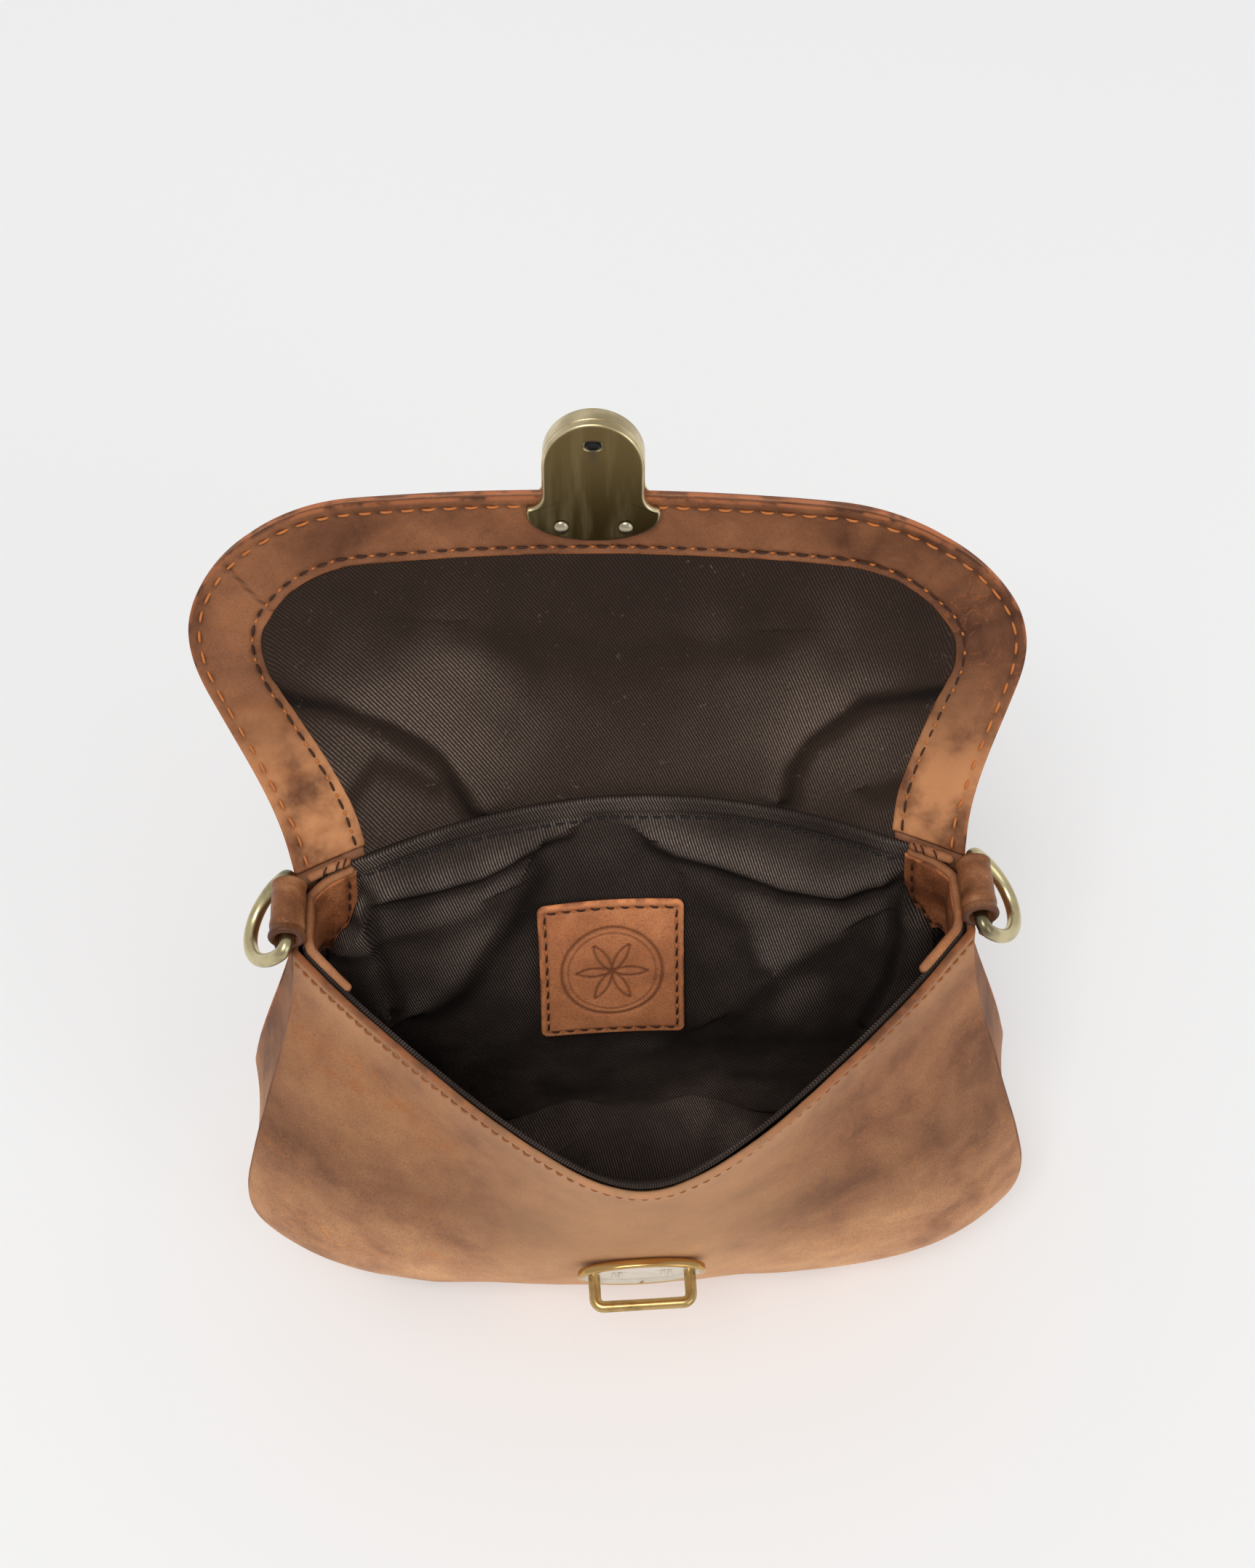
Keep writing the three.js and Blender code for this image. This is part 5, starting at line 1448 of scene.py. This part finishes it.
# %% Catch plate and loop
PLATE_HALF_WIDTH, PLATE_HALF_HEIGHT, PLATE_THICKNESS = 17.8, 9.6, 1.4
RIM_HEIGHT, RIM_WIDTH = 2.5, 1.5
PLATE_UP = 1.1
turn = np.linspace(0, 2 * np.pi, 128, endpoint=False)[::-1]
oval = np.stack([PLATE_HALF_WIDTH * np.cos(turn), PLATE_UP + PLATE_HALF_HEIGHT * np.sin(turn)], -1)
plate = rounded_levels(oval, 0, RIM_HEIGHT, 0.7)
# Rings down the inner side of the rim: how far each is set in, and its height
inner_rim = [
    (RIM_WIDTH - 0.3, RIM_HEIGHT - 0.05),
    (RIM_WIDTH, RIM_HEIGHT - 0.3),
    (RIM_WIDTH + 0.15, PLATE_THICKNESS),
]
plate = plate + [level(inset_outline(oval, inset), height) for inset, height in inner_rim]
plate = filled(plate, (0, PLATE_UP), [0.02, 0.5, 0.9], [0.95, 0.8, 0.6, 0.4, 0.2, 0.02])
skins = [ring_skin(np.stack(plate))]
PRONG_X, PRONG_GAP, PRONG_RADIUS = 6.9, 0.9, 0.42
prong_y = np.linspace(-2.6, 1.4, 12)
prong_z = PLATE_THICKNESS + 0.15 + 0.35 * np.sin(np.linspace(0, np.pi, len(prong_y)))
for side in (-1, 1):
    for dx in (-PRONG_GAP, PRONG_GAP):
        prong = points(side * PRONG_X + dx, prong_y, prong_z)
        skins.append(ring_skin(carried(prong, [0, 0, 1], PRONG_RADIUS, sides=10)))
local, faces = joined(skins)
from_rim = np.hypot(
    local[:, 0] / (PLATE_HALF_WIDTH - RIM_WIDTH), (local[:, 1] - PLATE_UP) / (PLATE_HALF_HEIGHT - RIM_WIDTH)
)
level_face = ((from_rim < 1.0) & (local[:, 2] > 1.0)).astype(float)
# Where each prong goes into its slot, which is not modelled; the shader paints it dark as painted shade
slot_away = np.hypot((np.abs(local[:, 0]) - PRONG_X) / 1.4, (local[:, 1] - 2.2) / 0.6)
plate_mark = points(level_face, bell(slot_away, 0.8), local[:, 1] / 20)
vertices = placed(local, catch_origin, catch_frame)
put_mesh("catch_oval_plate", vertices, faces, {"face": plate_mark}, node="catch_plate")

LOOP_WIRE, LOOP_HALF, LOOP_REACH, LOOP_BEND = 1.6, 13.3, 10.2, 2.4
bend = np.linspace(0, np.pi / 2, 9)
LEG_END, BAR_END = LOOP_REACH - LOOP_BEND, LOOP_HALF - LOOP_BEND
leg = np.linspace(0.3, LEG_END, 14)
bar = np.linspace(-BAR_END, BAR_END, 20)[1:-1]
loop_x = np.concatenate(
    [np.full(len(leg), -LOOP_HALF), -BAR_END - LOOP_BEND * np.cos(bend[1:]), bar,
     BAR_END + LOOP_BEND * np.sin(bend[:-1]), np.full(len(leg), LOOP_HALF)]
)
loop_z = np.concatenate(
    [leg, LEG_END + LOOP_BEND * np.sin(bend[1:]), np.full(len(bar), LOOP_REACH),
     LEG_END + LOOP_BEND * np.cos(bend[:-1]), leg[::-1]]
)
loop_path = placed(points(loop_x, 0, loop_z), catch_origin, catch_frame)
loop_thick = LOOP_WIRE * (1 + 0.03 * np.sin(np.linspace(0, 9, len(loop_path))))
vertices, faces = ring_skin(carried(loop_path, catch_frame[1], loop_thick, sides=20))
put_mesh("catch_bail", vertices, faces, node="catch_loop")

# %% [markdown]
# Now the finishes. A material is a small program of nodes, and written as Python expressions
# it stays readable: one class wraps a socket so that + and * add Math nodes, and one method
# adds any other node. Colours are given as they look on a screen and turned linear once.

# %% Nodes as expressions
def tone(red, green, blue, gain=1.0):
    """Screen colour of 0 to 255 as linear light, by the usual curve, times a gain."""
    screen = np.array([red, green, blue]) / 255
    linear = np.where(screen <= 0.04045, screen / 12.92, ((screen + 0.055) / 1.055) ** 2.4)
    return (*np.clip(linear * gain, 0, 1).tolist(), 1.0)


class Wire:
    """One output of a node. Arithmetic on it adds Math nodes to the same material."""

    def __init__(self, finish, socket):
        self.finish = finish
        self.socket = socket

    def math(self, operation, first, second=0.0):
        """A Math node of that operation on two values."""
        return self.finish.node("Math", {"operation": operation}, {0: first, 1: second})

    def __add__(self, other):
        return self.math("ADD", self, other)

    def __radd__(self, other):
        return self.math("ADD", other, self)

    def __sub__(self, other):
        return self.math("SUBTRACT", self, other)

    def __rsub__(self, other):
        return self.math("SUBTRACT", other, self)

    def __mul__(self, other):
        return self.math("MULTIPLY", self, other)

    def __rmul__(self, other):
        return self.math("MULTIPLY", other, self)

    def __pow__(self, other):
        return self.math("POWER", self, other)


class Finish:
    """A procedural material: the shader with its constants, and methods that add nodes."""

    def __init__(self, name, slot, **constants):
        self.slot = slot
        self.material = bpy.data.materials.new(name)
        self.material.use_nodes = True
        self.tree = self.material.node_tree
        self.shader = self.tree.nodes["Principled BSDF"]
        for socket, value in constants.items():
            self.shader.inputs[socket.replace("_", " ")].default_value = value
        self.place = self.node("TexCoord", output="Object")

    def feed(self, socket, value):
        """Links a wire to a socket, or sets the socket to a value."""
        if isinstance(value, Wire):
            self.tree.links.new(value.socket, socket)
        else:
            socket.default_value = value

    def node(self, kind, settings=None, sockets=None, output=0):
        """Adds a node of a kind: its settings first, then the values or links of its sockets."""
        added = self.tree.nodes.new("ShaderNode" + kind)
        for key, value in (settings or {}).items():
            if key == "stops":
                ramp = added.color_ramp.elements
                while len(ramp) < len(value):
                    ramp.new(0.5)
                for stop, (position, colour) in zip(ramp, value):
                    stop.position = position
                    stop.color = colour
            else:
                setattr(added, key, value)
        for key, value in (sockets or {}).items():
            self.feed(added.inputs[key], value)
        return Wire(self, added.outputs[output])

    def noise(self, scale, detail=2.0, rough=0.5, vector=None, twist=0.0):
        """Smooth noise from 0 to 1, at so many hills a metre on the object."""
        sockets = {"Scale": scale, "Detail": detail, "Roughness": rough, "Distortion": twist}
        return self.node("TexNoise", None, {"Vector": vector or self.place, **sockets})

    def stretched(self, x, y, z):
        """The place, with each axis scaled."""
        return self.node("Mapping", None, {"Vector": self.place, "Scale": (x, y, z)})

    def part(self, vector, axis):
        """One of the three parts of a vector, by its letter."""
        return self.node("SeparateXYZ", None, {0: vector}, output=axis)

    def step(self, value, low, high):
        """0 below low, 1 above high and smooth between them."""
        sockets = {"Value": value, "From Min": low, "From Max": high}
        return self.node("MapRange", {"interpolation_type": "SMOOTHSTEP"}, sockets)

    def blend(self, share, a, b, mode="MIX"):
        """A colour between a and b."""
        settings = {"data_type": "RGBA", "blend_type": mode, "clamp_factor": True}
        return self.node("Mix", settings, {0: share, 6: a, 7: b}, output=2)

    def ramp(self, value, *stops):
        """A colour read from a ramp of (position, colour) stops."""
        return self.node("ValToRGB", {"stops": stops}, {"Fac": value})

    def mark(self, name):
        """The three parts of a named mark on the mesh."""
        vector = self.node("Attribute", {"attribute_name": name}, output="Vector")
        return [self.part(vector, axis) for axis in "XYZ"]

    def set(self, **sockets):
        """Feeds the shader's own sockets."""
        for socket, value in sockets.items():
            self.feed(self.shader.inputs[socket.replace("_", " ")], value)

    def tint(self, share, colour, mode="MIX"):
        """Blends a colour over the one that feeds the shader already."""
        plain = Wire(self, self.shader.inputs["Base Color"].links[0].from_socket)
        self.set(Base_Color=self.blend(share, plain, colour, mode))

    def bump(self, height, distance, strength):
        """A bump from a height of 0 to 1 over a distance in metres."""
        sockets = {"Height": height, "Distance": distance, "Strength": strength}
        return self.node("Bump", None, sockets)

    def dress(self, *names):
        """Gives the finish to finished pieces."""
        for name in names:
            piece = made[name]
            piece.data.materials.clear()
            piece.data.materials.append(self.material)


# %% [markdown]
# Waxed nubuck is never one colour. Oil and handling leave soft dark clouds, the raised parts
# rub pale, and warm streaks show where it was pulled; under a lens it is a fine speckle. The
# leather finish layers those four: clouds, rubbed patches, streaks and speckle. It paints shade
# into the stitch grooves and creases that the seam mark gives it, and burnishes towards the cut
# edges, which the edge mark gives it.

# %% Leather
def leather(
    name, slot, dark, middle, light, warm, rim, gain,
    cloudy=1.0, speckle=0.14, grain=0.00012, scratches=0.3, nap=0.16, rough=0.6,
):
    """Clouds read from a ramp of the first three tones, warm streaks and speckle over them,
    painted shade from the seam mark, and the colour of the rims. The gain multiplies every tone."""
    hide = Finish(name, slot, Specular_IOR_Level=0.28)
    clouds = hide.noise(24, 3.0, 0.55, twist=0.6)
    patches = hide.noise(75, 4.0, 0.62, twist=0.4)
    mottle = 0.5 + cloudy * ((clouds - 0.5) * 1.15 + (patches - 0.5) * 0.75)
    colour = hide.ramp(
        mottle, (0.18, tone(*dark, gain)), (0.47, tone(*middle, gain)), (0.78, tone(*light, gain))
    )
    pulled = hide.noise(14, 4.0, 0.6, vector=hide.stretched(1.0, 1.0, 2.6), twist=1.2)
    streaks = hide.step(pulled, 0.55, 0.75) * hide.step(hide.noise(170, 3.0), 0.35, 0.7)
    colour = hide.blend(streaks * 0.7, colour, tone(*warm, gain))
    scuff = hide.step(hide.noise(420, 5.0, 0.7, twist=0.5), 0.56, 0.74)
    colour = hide.blend(scuff * nap, colour, tone(*light, gain * 1.12))
    dots = hide.noise(2300, 2.0, 0.7)
    dark_dot, pale_dot = (1 - 2.2 * speckle,) * 3 + (1,), (1 + speckle * 0.6,) * 3 + (1,)
    specks = hide.ramp(dots, (0.25, dark_dot), (0.5, (1, 1, 1, 1)), (0.8, pale_dot))
    colour = hide.blend(1.0, colour, specks, "MULTIPLY")
    veins = hide.noise(95, 3.0, 0.55, twist=1.6)
    lines = 1.0 - hide.step(veins.math("ABSOLUTE", veins - 0.5), 0.002, 0.014)
    sparse = hide.step(hide.noise(48, 3.0, 0.6), 0.5, 0.62)
    colour = hide.blend(lines * sparse * scratches, colour, tone(*warm, gain * 1.5))
    # Painted shade: the seam mark darkens stitch grooves, creases and lips where shade would fall, and also
    # the band's joint
    seam, _, _ = hide.mark("seam")
    colour = hide.blend(seam * 0.62, colour, tone(*dark, 0.32 * gain))
    rims, _, _ = hide.mark("edge")
    burnt = hide.step(hide.noise(160, 3.0), 0.42, 0.62)
    rim_colour = hide.blend(burnt, tone(*rim, gain), tone(*dark, gain * 0.8))
    colour = hide.blend(rims * 0.85, colour, rim_colour)
    wrinkles = hide.noise(330, 4.0, 0.6, twist=0.8)
    fine = hide.noise(1500, 3.0, 0.65)
    height = wrinkles * 0.6 + fine * 0.4
    hide.set(
        Base_Color=colour,
        Roughness=rough + 0.22 * patches,
        Normal=hide.bump(height, grain * 2.5, 0.7),
    )
    return hide


front_hide = leather(
    "waxed_hide", "hide", (124, 84, 60), (180, 135, 102), (210, 166, 126), (206, 132, 66),
    (158, 102, 72), 1.32, cloudy=0.9, speckle=0.22, scratches=0.42, nap=0.3,
)
# Painted shade and light on the front: darkest about half way up, with a painted sheen just below the
# mouth's seam and painted light in its middle
TONED_HEIGHT = 0.16
# Painted shading: the front's colour is multiplied by a ramp of height, palest at the base and darkest
# about half way up
painted_shading_by_height = front_hide.ramp(
    front_hide.part(front_hide.place, "Z") * (1 / TONED_HEIGHT),
    (0.0, (1.0, 0.96, 0.9, 1)), (0.25, (0.84, 0.75, 0.66, 1)),
    (0.5, (0.37, 0.29, 0.23, 1)), (0.9, (0.58, 0.45, 0.34, 1)),
)
front_hide.tint(1.0, painted_shading_by_height, "MULTIPLY")
# Painted sheen: a paler strip just below the mouth's seam
_, below_mark, _ = front_hide.mark("seam")
sheen_and_rubbing = (1.0 - front_hide.step(below_mark, 0.02, 0.26)) * front_hide.step(below_mark, 0.0, 0.04)
front_hide.tint(sheen_and_rubbing * 0.26, tone(206, 158, 116, 0.95))
# Painted light: the middle of the front is blended towards a paler tone
across = front_hide.part(front_hide.place, "X")
middle = 1.0 - front_hide.step(across.math("ABSOLUTE", across), 0.008, 0.062)
front_hide.tint(middle * 0.42, tone(214, 164, 120, 1.15))
front_hide.dress("front_leather", "gusset_leather")
flap_hide = leather(
    "flap_hide", "hide", (118, 76, 54), (160, 108, 78), (184, 134, 100), (184, 116, 70),
    (196, 116, 74), 1.0,
)
flap_hide.dress("back_and_flap_leather")
band_hide = leather(
    "band_hide", "facing_hide", (92, 50, 28), (138, 86, 54), (170, 110, 72), (170, 94, 48),
    (196, 116, 70), 0.72, cloudy=1.15,
)
_, _, near_hinge_mark = band_hide.mark("seam")
sheen_and_rubbing = near_hinge_mark * band_hide.step(band_hide.noise(60, 4.0, 0.6), 0.3, 0.62)
band_hide.tint(sheen_and_rubbing * 0.8, tone(212, 146, 96, 1.0))
band_hide.dress("flap_band")
corner_hide = leather(
    "corner_hide", "facing_hide", (104, 56, 30), (146, 86, 50), (176, 112, 70), (190, 110, 56),
    (196, 116, 70), 1.05, cloudy=1.5, speckle=0.3, grain=0.0003, nap=0.3,
)
corner_hide.dress("corner_facing_leather_left", "corner_facing_leather_right")
roll_hide = leather(
    "rolled_hide", "facing_hide", (132, 78, 48), (184, 120, 78), (206, 142, 98), (204, 128, 76),
    (192, 124, 84), 0.72, cloudy=1.4,
)
roll_hide.dress("corner_bead_left", "corner_bead_right", "hinge_roll_left", "hinge_roll_right")
strap_hide = leather(
    "strap_hide", "hide", (92, 52, 28), (146, 92, 56), (196, 140, 98), (182, 112, 60),
    (84, 48, 32), 0.9, cloudy=1.6, speckle=0.2, rough=0.34,
)
strap_hide.dress("ring_strap_left", "ring_strap_right")

# %% Patch leather, with the stamp darkened
patch_hide = leather(
    "patch_hide", "facing_hide", (146, 88, 56), (172, 108, 70), (196, 128, 84), (190, 112, 62),
    (206, 130, 80), 1.42, cloudy=1.2, speckle=0.22,
)
_, _, pressed = patch_hide.mark("seam")
patch_hide.tint(pressed * 0.75, tone(96, 50, 28))
patch_hide.dress("patch_leather")

# %% [markdown]
# Twill is recognised by its slanted ribs. The mesh carries a count of ribs crossed, so a sine
# of that count draws them, whatever way the cloth hangs, and it bends with every fold. Noise
# along the ribs breaks them into threads. The worn mark pales the tops of folds, partly as
# rubbing and partly as painted light, and darkens their feet with painted shade; near the
# bottom of the bag the cloth is painted brighter, as painted light.

# %% Twill
def twill(name, dark, light, pale_tone, lint):
    """Rib height from a sine of the rib count. Pale tops where the worn mark is above 0, partly
    rubbing and partly painted light, painted shade where it is below 0, and painted light near
    the bottom of the bag.
    """
    cloth = Finish(name, "twill", Roughness=0.92, Specular_IOR_Level=0.12)
    count, way, worn = cloth.mark("weave")
    rib = 0.5 + 0.5 * count.math("SINE", count * (2 * np.pi))
    thread_place = cloth.node("CombineXYZ", None, {0: count * 1.0, 1: way * 0.7, 2: 0.0})
    threads = cloth.noise(1.9, 2.0, 0.6, vector=thread_place)
    fuzz = cloth.noise(900, 3.0, 0.6)
    show = cloth.step(threads, 0.25, 0.75)
    top = (rib**1.4) * (0.35 + 0.65 * show)
    mottle = cloth.step(cloth.noise(60, 3.0, 0.6), 0.3, 0.7)
    # Painted light: near the bottom of the bag the ground and the ribs are painted brighter, with patches
    # of painted highlight
    deep = 1.0 - cloth.step(cloth.part(cloth.place, "Z"), 0.02, 0.085)
    ground = cloth.blend(deep, tone(*dark), tone(*dark, 2.6))
    pale = cloth.step(cloth.noise(26, 2.0, 0.5), 0.46, 0.66)
    raised = cloth.blend(deep, tone(*light), cloth.blend(pale, tone(*light, 2.4), tone(*light, 5.5)))
    colour = cloth.blend(top * (0.45 + 0.55 * mottle), ground, raised)
    # Above 0 the worn mark pales the rib tops, partly rubbing and partly painted light; below 0 it paints
    # shade, near black
    colour = cloth.blend(top * cloth.step(worn, 0.0, 1.1), colour, tone(*pale_tone))
    colour = cloth.blend(cloth.step(worn * -1.0, 0.0, 0.9) * 0.75, colour, tone(14, 11, 10))
    flecks = cloth.step(cloth.noise(260, 4.0, 0.75, twist=1.5), 0.62, 0.72) * cloth.step(fuzz, 0.4, 0.62)
    colour = cloth.blend(flecks * lint, colour, tone(*pale_tone))
    height = rib * 0.75 + fuzz * 0.25
    cloth.set(Base_Color=colour, Normal=cloth.bump(height, 0.00022, 0.8))
    return cloth


bag_twill = twill("bag_twill", (34, 27, 24), (92, 78, 70), (166, 148, 136), 0.1)
bag_twill.dress("bag_lining")
flap_twill = twill("flap_twill", (42, 31, 25), (68, 54, 45), (142, 124, 112), 0.4)
flap_twill.dress("flap_cloth")

# %% Threads
def thread(name, slot, colour, shade):
    """A matt thread with a slight change of colour along the row."""
    strand = Finish(name, slot, Roughness=0.6, Specular_IOR_Level=0.3)
    change = strand.noise(400, 2.0)
    strand.set(
        Base_Color=strand.blend(change, tone(*colour), tone(*shade)),
        Normal=strand.bump(strand.noise(3000, 1.0), 0.0001, 0.5),
    )
    return strand


dull_orange = thread("dull_orange_thread", "hide", (172, 108, 60), (128, 74, 38))
dull_orange.dress("stitches_mouth")
orange = thread("orange_thread", "facing_hide", (206, 128, 66), (170, 92, 42))
orange.dress(
    "stitches_band_outer", "stitches_band_inner_bits", "stitches_flap_back",
    "stitches_flap_back_inner", "stitches_facing_left", "stitches_facing_right", "stitches_tab_left",
    "stitches_tab_right", *("stitches_patch_bits_" + word for word in sides_of_patch),
)
# Brown thread: real brown threads at the hinge, and on the band's inner row painted shade over the orange
# thread
brown = thread("brown_thread", "twill", (74, 40, 20), (40, 20, 10))
brown.dress(
    "hinge_threads_left", "hinge_threads_right", "stitches_band_inner",
    "stitches_facing_dark_left", "stitches_facing_dark_right",
    *("stitches_patch_" + word for word in sides_of_patch),
)
black = thread("black_thread", "twill", (44, 38, 38), (24, 20, 22))
black.dress("stitches_hem")

# %% [markdown]
# The metal is brass that has been lacquered and handled: pale where it is rubbed, olive and
# dark on the face of the clasp, warm gold on the catch. Metal shows its surroundings, so its
# roughness matters more than its colour; a soft, brushed noise keeps it from being a mirror.
# The rings' dark patches are painted dark reflections, the rounded edge of the clasp's face is a
# painted highlight, and the keyhole and the catch's prong slots are painted shade.

# %% Brass and steel
def metal(name, slot, bright, dull, rough, spots=0.35, size=130):
    """Two tones of metal mixed by noise, with a faint brushed bump. The dull patches are tarnish,
    and on the rings painted dark reflections.
    """
    brass = Finish(name, slot, Metallic=1.0)
    tarnish_and_dark_reflections = brass.step(brass.noise(size, 4.0, 0.6), 0.4, 0.66) * spots
    brass.set(
        Base_Color=brass.blend(tarnish_and_dark_reflections, tone(*bright), tone(*dull)),
        Roughness=rough + 0.1 * brass.noise(300, 3.0),
        Normal=brass.bump(brass.noise(2600, 2.0), 0.00003, 0.4),
    )
    return brass


# On the rings the dark patches are painted reflections of dark surroundings
ring_brass = metal("ring_brass", "pale_brass", (208, 194, 150), (74, 64, 50), 0.24, spots=0.9, size=45)
ring_brass.dress("brass_ring_left", "brass_ring_right")
gold_brass = metal("gold_brass", "pale_brass", (196, 164, 108), (118, 90, 50), 0.2, spots=0.7)
gold_brass.dress("catch_bail")
rivet_steel = metal("rivet_steel", "bright_steel", (176, 166, 140), (110, 100, 76), 0.2)
rivet_steel.dress("clasp_rivet_head_left", "clasp_rivet_head_right")

clasp_metal = Finish("clasp_bronze", "dark_brass", Metallic=1.0)
on_face, height_mark, in_keyhole = clasp_metal.mark("face")
# The face is darker towards its bottom, with paler smears
clasp_face_colour = clasp_metal.blend(clasp_metal.step(height_mark, -0.35, 0.7), tone(56, 44, 22), tone(112, 94, 60))
smears = clasp_metal.noise(60, 3.0, 0.6, vector=clasp_metal.stretched(3.0, 1.0, 0.4))
clasp_face_colour = clasp_metal.blend(clasp_metal.step(smears, 0.45, 0.8) * 0.35, clasp_face_colour, tone(150, 134, 96))
worn = clasp_metal.step(clasp_metal.noise(90, 3.0), 0.35, 0.7) * 0.7
# The wall's pale brass also covers the face's rounded edge, as a painted highlight
wall = clasp_metal.blend(worn, tone(232, 216, 174), tone(150, 130, 88))
worked = clasp_metal.blend(on_face, wall, clasp_face_colour)
# Painted shade: the keyhole is painted near black and not metallic
clasp_metal.set(
    Base_Color=clasp_metal.blend(in_keyhole, worked, tone(12, 10, 8)),
    Metallic=1.0 - in_keyhole,
    Roughness=0.3 + 0.12 * on_face + 0.3 * in_keyhole,
    Normal=clasp_metal.bump(clasp_metal.noise(2400, 2.0), 0.00003, 0.4),
)
clasp_metal.dress("clasp_casting")

plate_metal = Finish("plate_metal", "bright_steel")
on_face, in_slot, _ = plate_metal.mark("face")
face_tone = plate_metal.blend(
    plate_metal.step(plate_metal.noise(180, 4.0), 0.5, 0.8) * 0.35, tone(232, 224, 210), tone(180, 168, 150)
)
# Painted shade: dark spots where the prongs go into their slots
face_tone = plate_metal.blend(in_slot * 0.85, face_tone, tone(84, 66, 46))
plate_metal.set(
    Base_Color=plate_metal.blend(on_face, tone(198, 160, 100), face_tone),
    Metallic=1.0 - 0.45 * on_face,
    Roughness=0.18 + 0.2 * on_face,
)
plate_metal.dress("catch_oval_plate")

# %% [markdown]
# The lining's long side is its front, floor and back in one run, and its short side the body's
# width and depth; the flap's lining is a rounded piece. Neither fills its rectangle, so the area
# is given too, a little less than what shows.

def shown_area(name):
    """Area of one face of a thin closed sheet: half of its whole surface, in square metres."""
    mesh = made[name].data
    areas = np.zeros(len(mesh.polygons))
    mesh.polygons.foreach_get("area", areas)
    return float(areas.sum()) / 2


CLOTH_GIVE = 0.97
print("lining", round(shown_area("bag_lining"), 4), "flap cloth", round(shown_area("flap_cloth"), 4), "m2")
round(shown_area("bag_lining") * CLOTH_GIVE, 4)
round(shown_area("flap_cloth") * CLOTH_GIVE, 4)

# %% [markdown]
# The bag was shot on a pale table in an even studio light. A large plane, partly glowing like
# a light table, keeps the ground pale and the shadows faint. A broad lamp in front and above
# gives the leather its soft modelling, and a lower lamp at the right and the world fill the rest.

# %% Ground and light
FLOOR_HALF, FLOOR_DROP = 6, 0.0002
GLOW = 0.22
WORLD_LIGHT = 0.6
floor_corners = [(x * FLOOR_HALF, y * FLOOR_HALF, 0) for x, y in ((-1, -1), (1, -1), (1, 1), (-1, 1))]
floor_mesh = bpy.data.meshes.new("pale_floor")
floor_mesh.from_pydata(floor_corners, [], [(0, 1, 2, 3)])
floor = bpy.data.objects.new("pale_floor", floor_mesh)
bpy.context.collection.objects.link(floor)
floor.location.z = -FLOOR_DROP
ground = bpy.data.materials.new("pale_ground")
ground.use_nodes = True
ground_shader = ground.node_tree.nodes["Principled BSDF"]
ground_shader.inputs["Base Color"].default_value = (0.7, 0.7, 0.7, 1)
ground_shader.inputs["Roughness"].default_value = 1.0
ground_shader.inputs["Specular IOR Level"].default_value = 0.0
ground_shader.inputs["Emission Color"].default_value = (1, 1, 1, 1)
ground_shader.inputs["Emission Strength"].default_value = GLOW
floor_mesh.materials.append(ground)

world = bpy.data.worlds.new("studio")
world.use_nodes = True
sky = world.node_tree.nodes["Background"]
sky.inputs["Color"].default_value = (1.0, 1.0, 1.0, 1)
sky.inputs["Strength"].default_value = WORLD_LIGHT
bpy.context.scene.world = world


def lamp(name, place, target, size, power):
    """A square area light that looks from its place to a target."""
    light = bpy.data.lights.new(name, "AREA")
    light.size = size
    light.energy = power
    holder = bpy.data.objects.new(name, light)
    bpy.context.collection.objects.link(holder)
    away = np.array(place, float) - np.array(target, float)
    away = away / np.linalg.norm(away)
    tilt = float(np.arccos(away[2]))
    spin = float(np.arctan2(away[1], away[0]) + np.pi / 2)
    holder.location = place
    holder.rotation_euler = (tilt, 0, spin)


lamp("key_light", (-0.7, -1.7, 3.6), (0, 0, 0.1), 1.7, 63)
lamp("fill_light", (3.0, -3.0, 1.8), (0, 0, 0.1), 2.4, 28)

# %% Camera at the photograph's place
AZIMUTH, ELEVATION = np.radians(-2.2), np.radians(55)
CAMERA_TARGET = np.array([0, 40, 150]) * MM
CAMERA_AWAY = 0.59
# Focal length and height of the picture in its own pixels, and the sensor's height
FOCAL_PIXELS, PICTURE_PIXELS, SENSOR = 2994, 2156, 36
camera_place = CAMERA_TARGET + CAMERA_AWAY * np.array(
    [np.sin(AZIMUTH) * np.cos(ELEVATION), -np.cos(AZIMUTH) * np.cos(ELEVATION), np.sin(ELEVATION)]
)
camera_data = bpy.data.cameras.new("camera")
camera_data.sensor_fit = "VERTICAL"
camera_data.sensor_height = SENSOR
camera_data.lens = SENSOR * FOCAL_PIXELS / PICTURE_PIXELS
camera_data.clip_start = 0.01
camera = bpy.data.objects.new("camera", camera_data)
bpy.context.collection.objects.link(camera)
camera.location = camera_place
camera.rotation_euler = (np.pi / 2 - ELEVATION, 0, AZIMUTH)
bpy.context.scene.camera = camera
bpy.context.scene.view_settings.view_transform = "Standard"
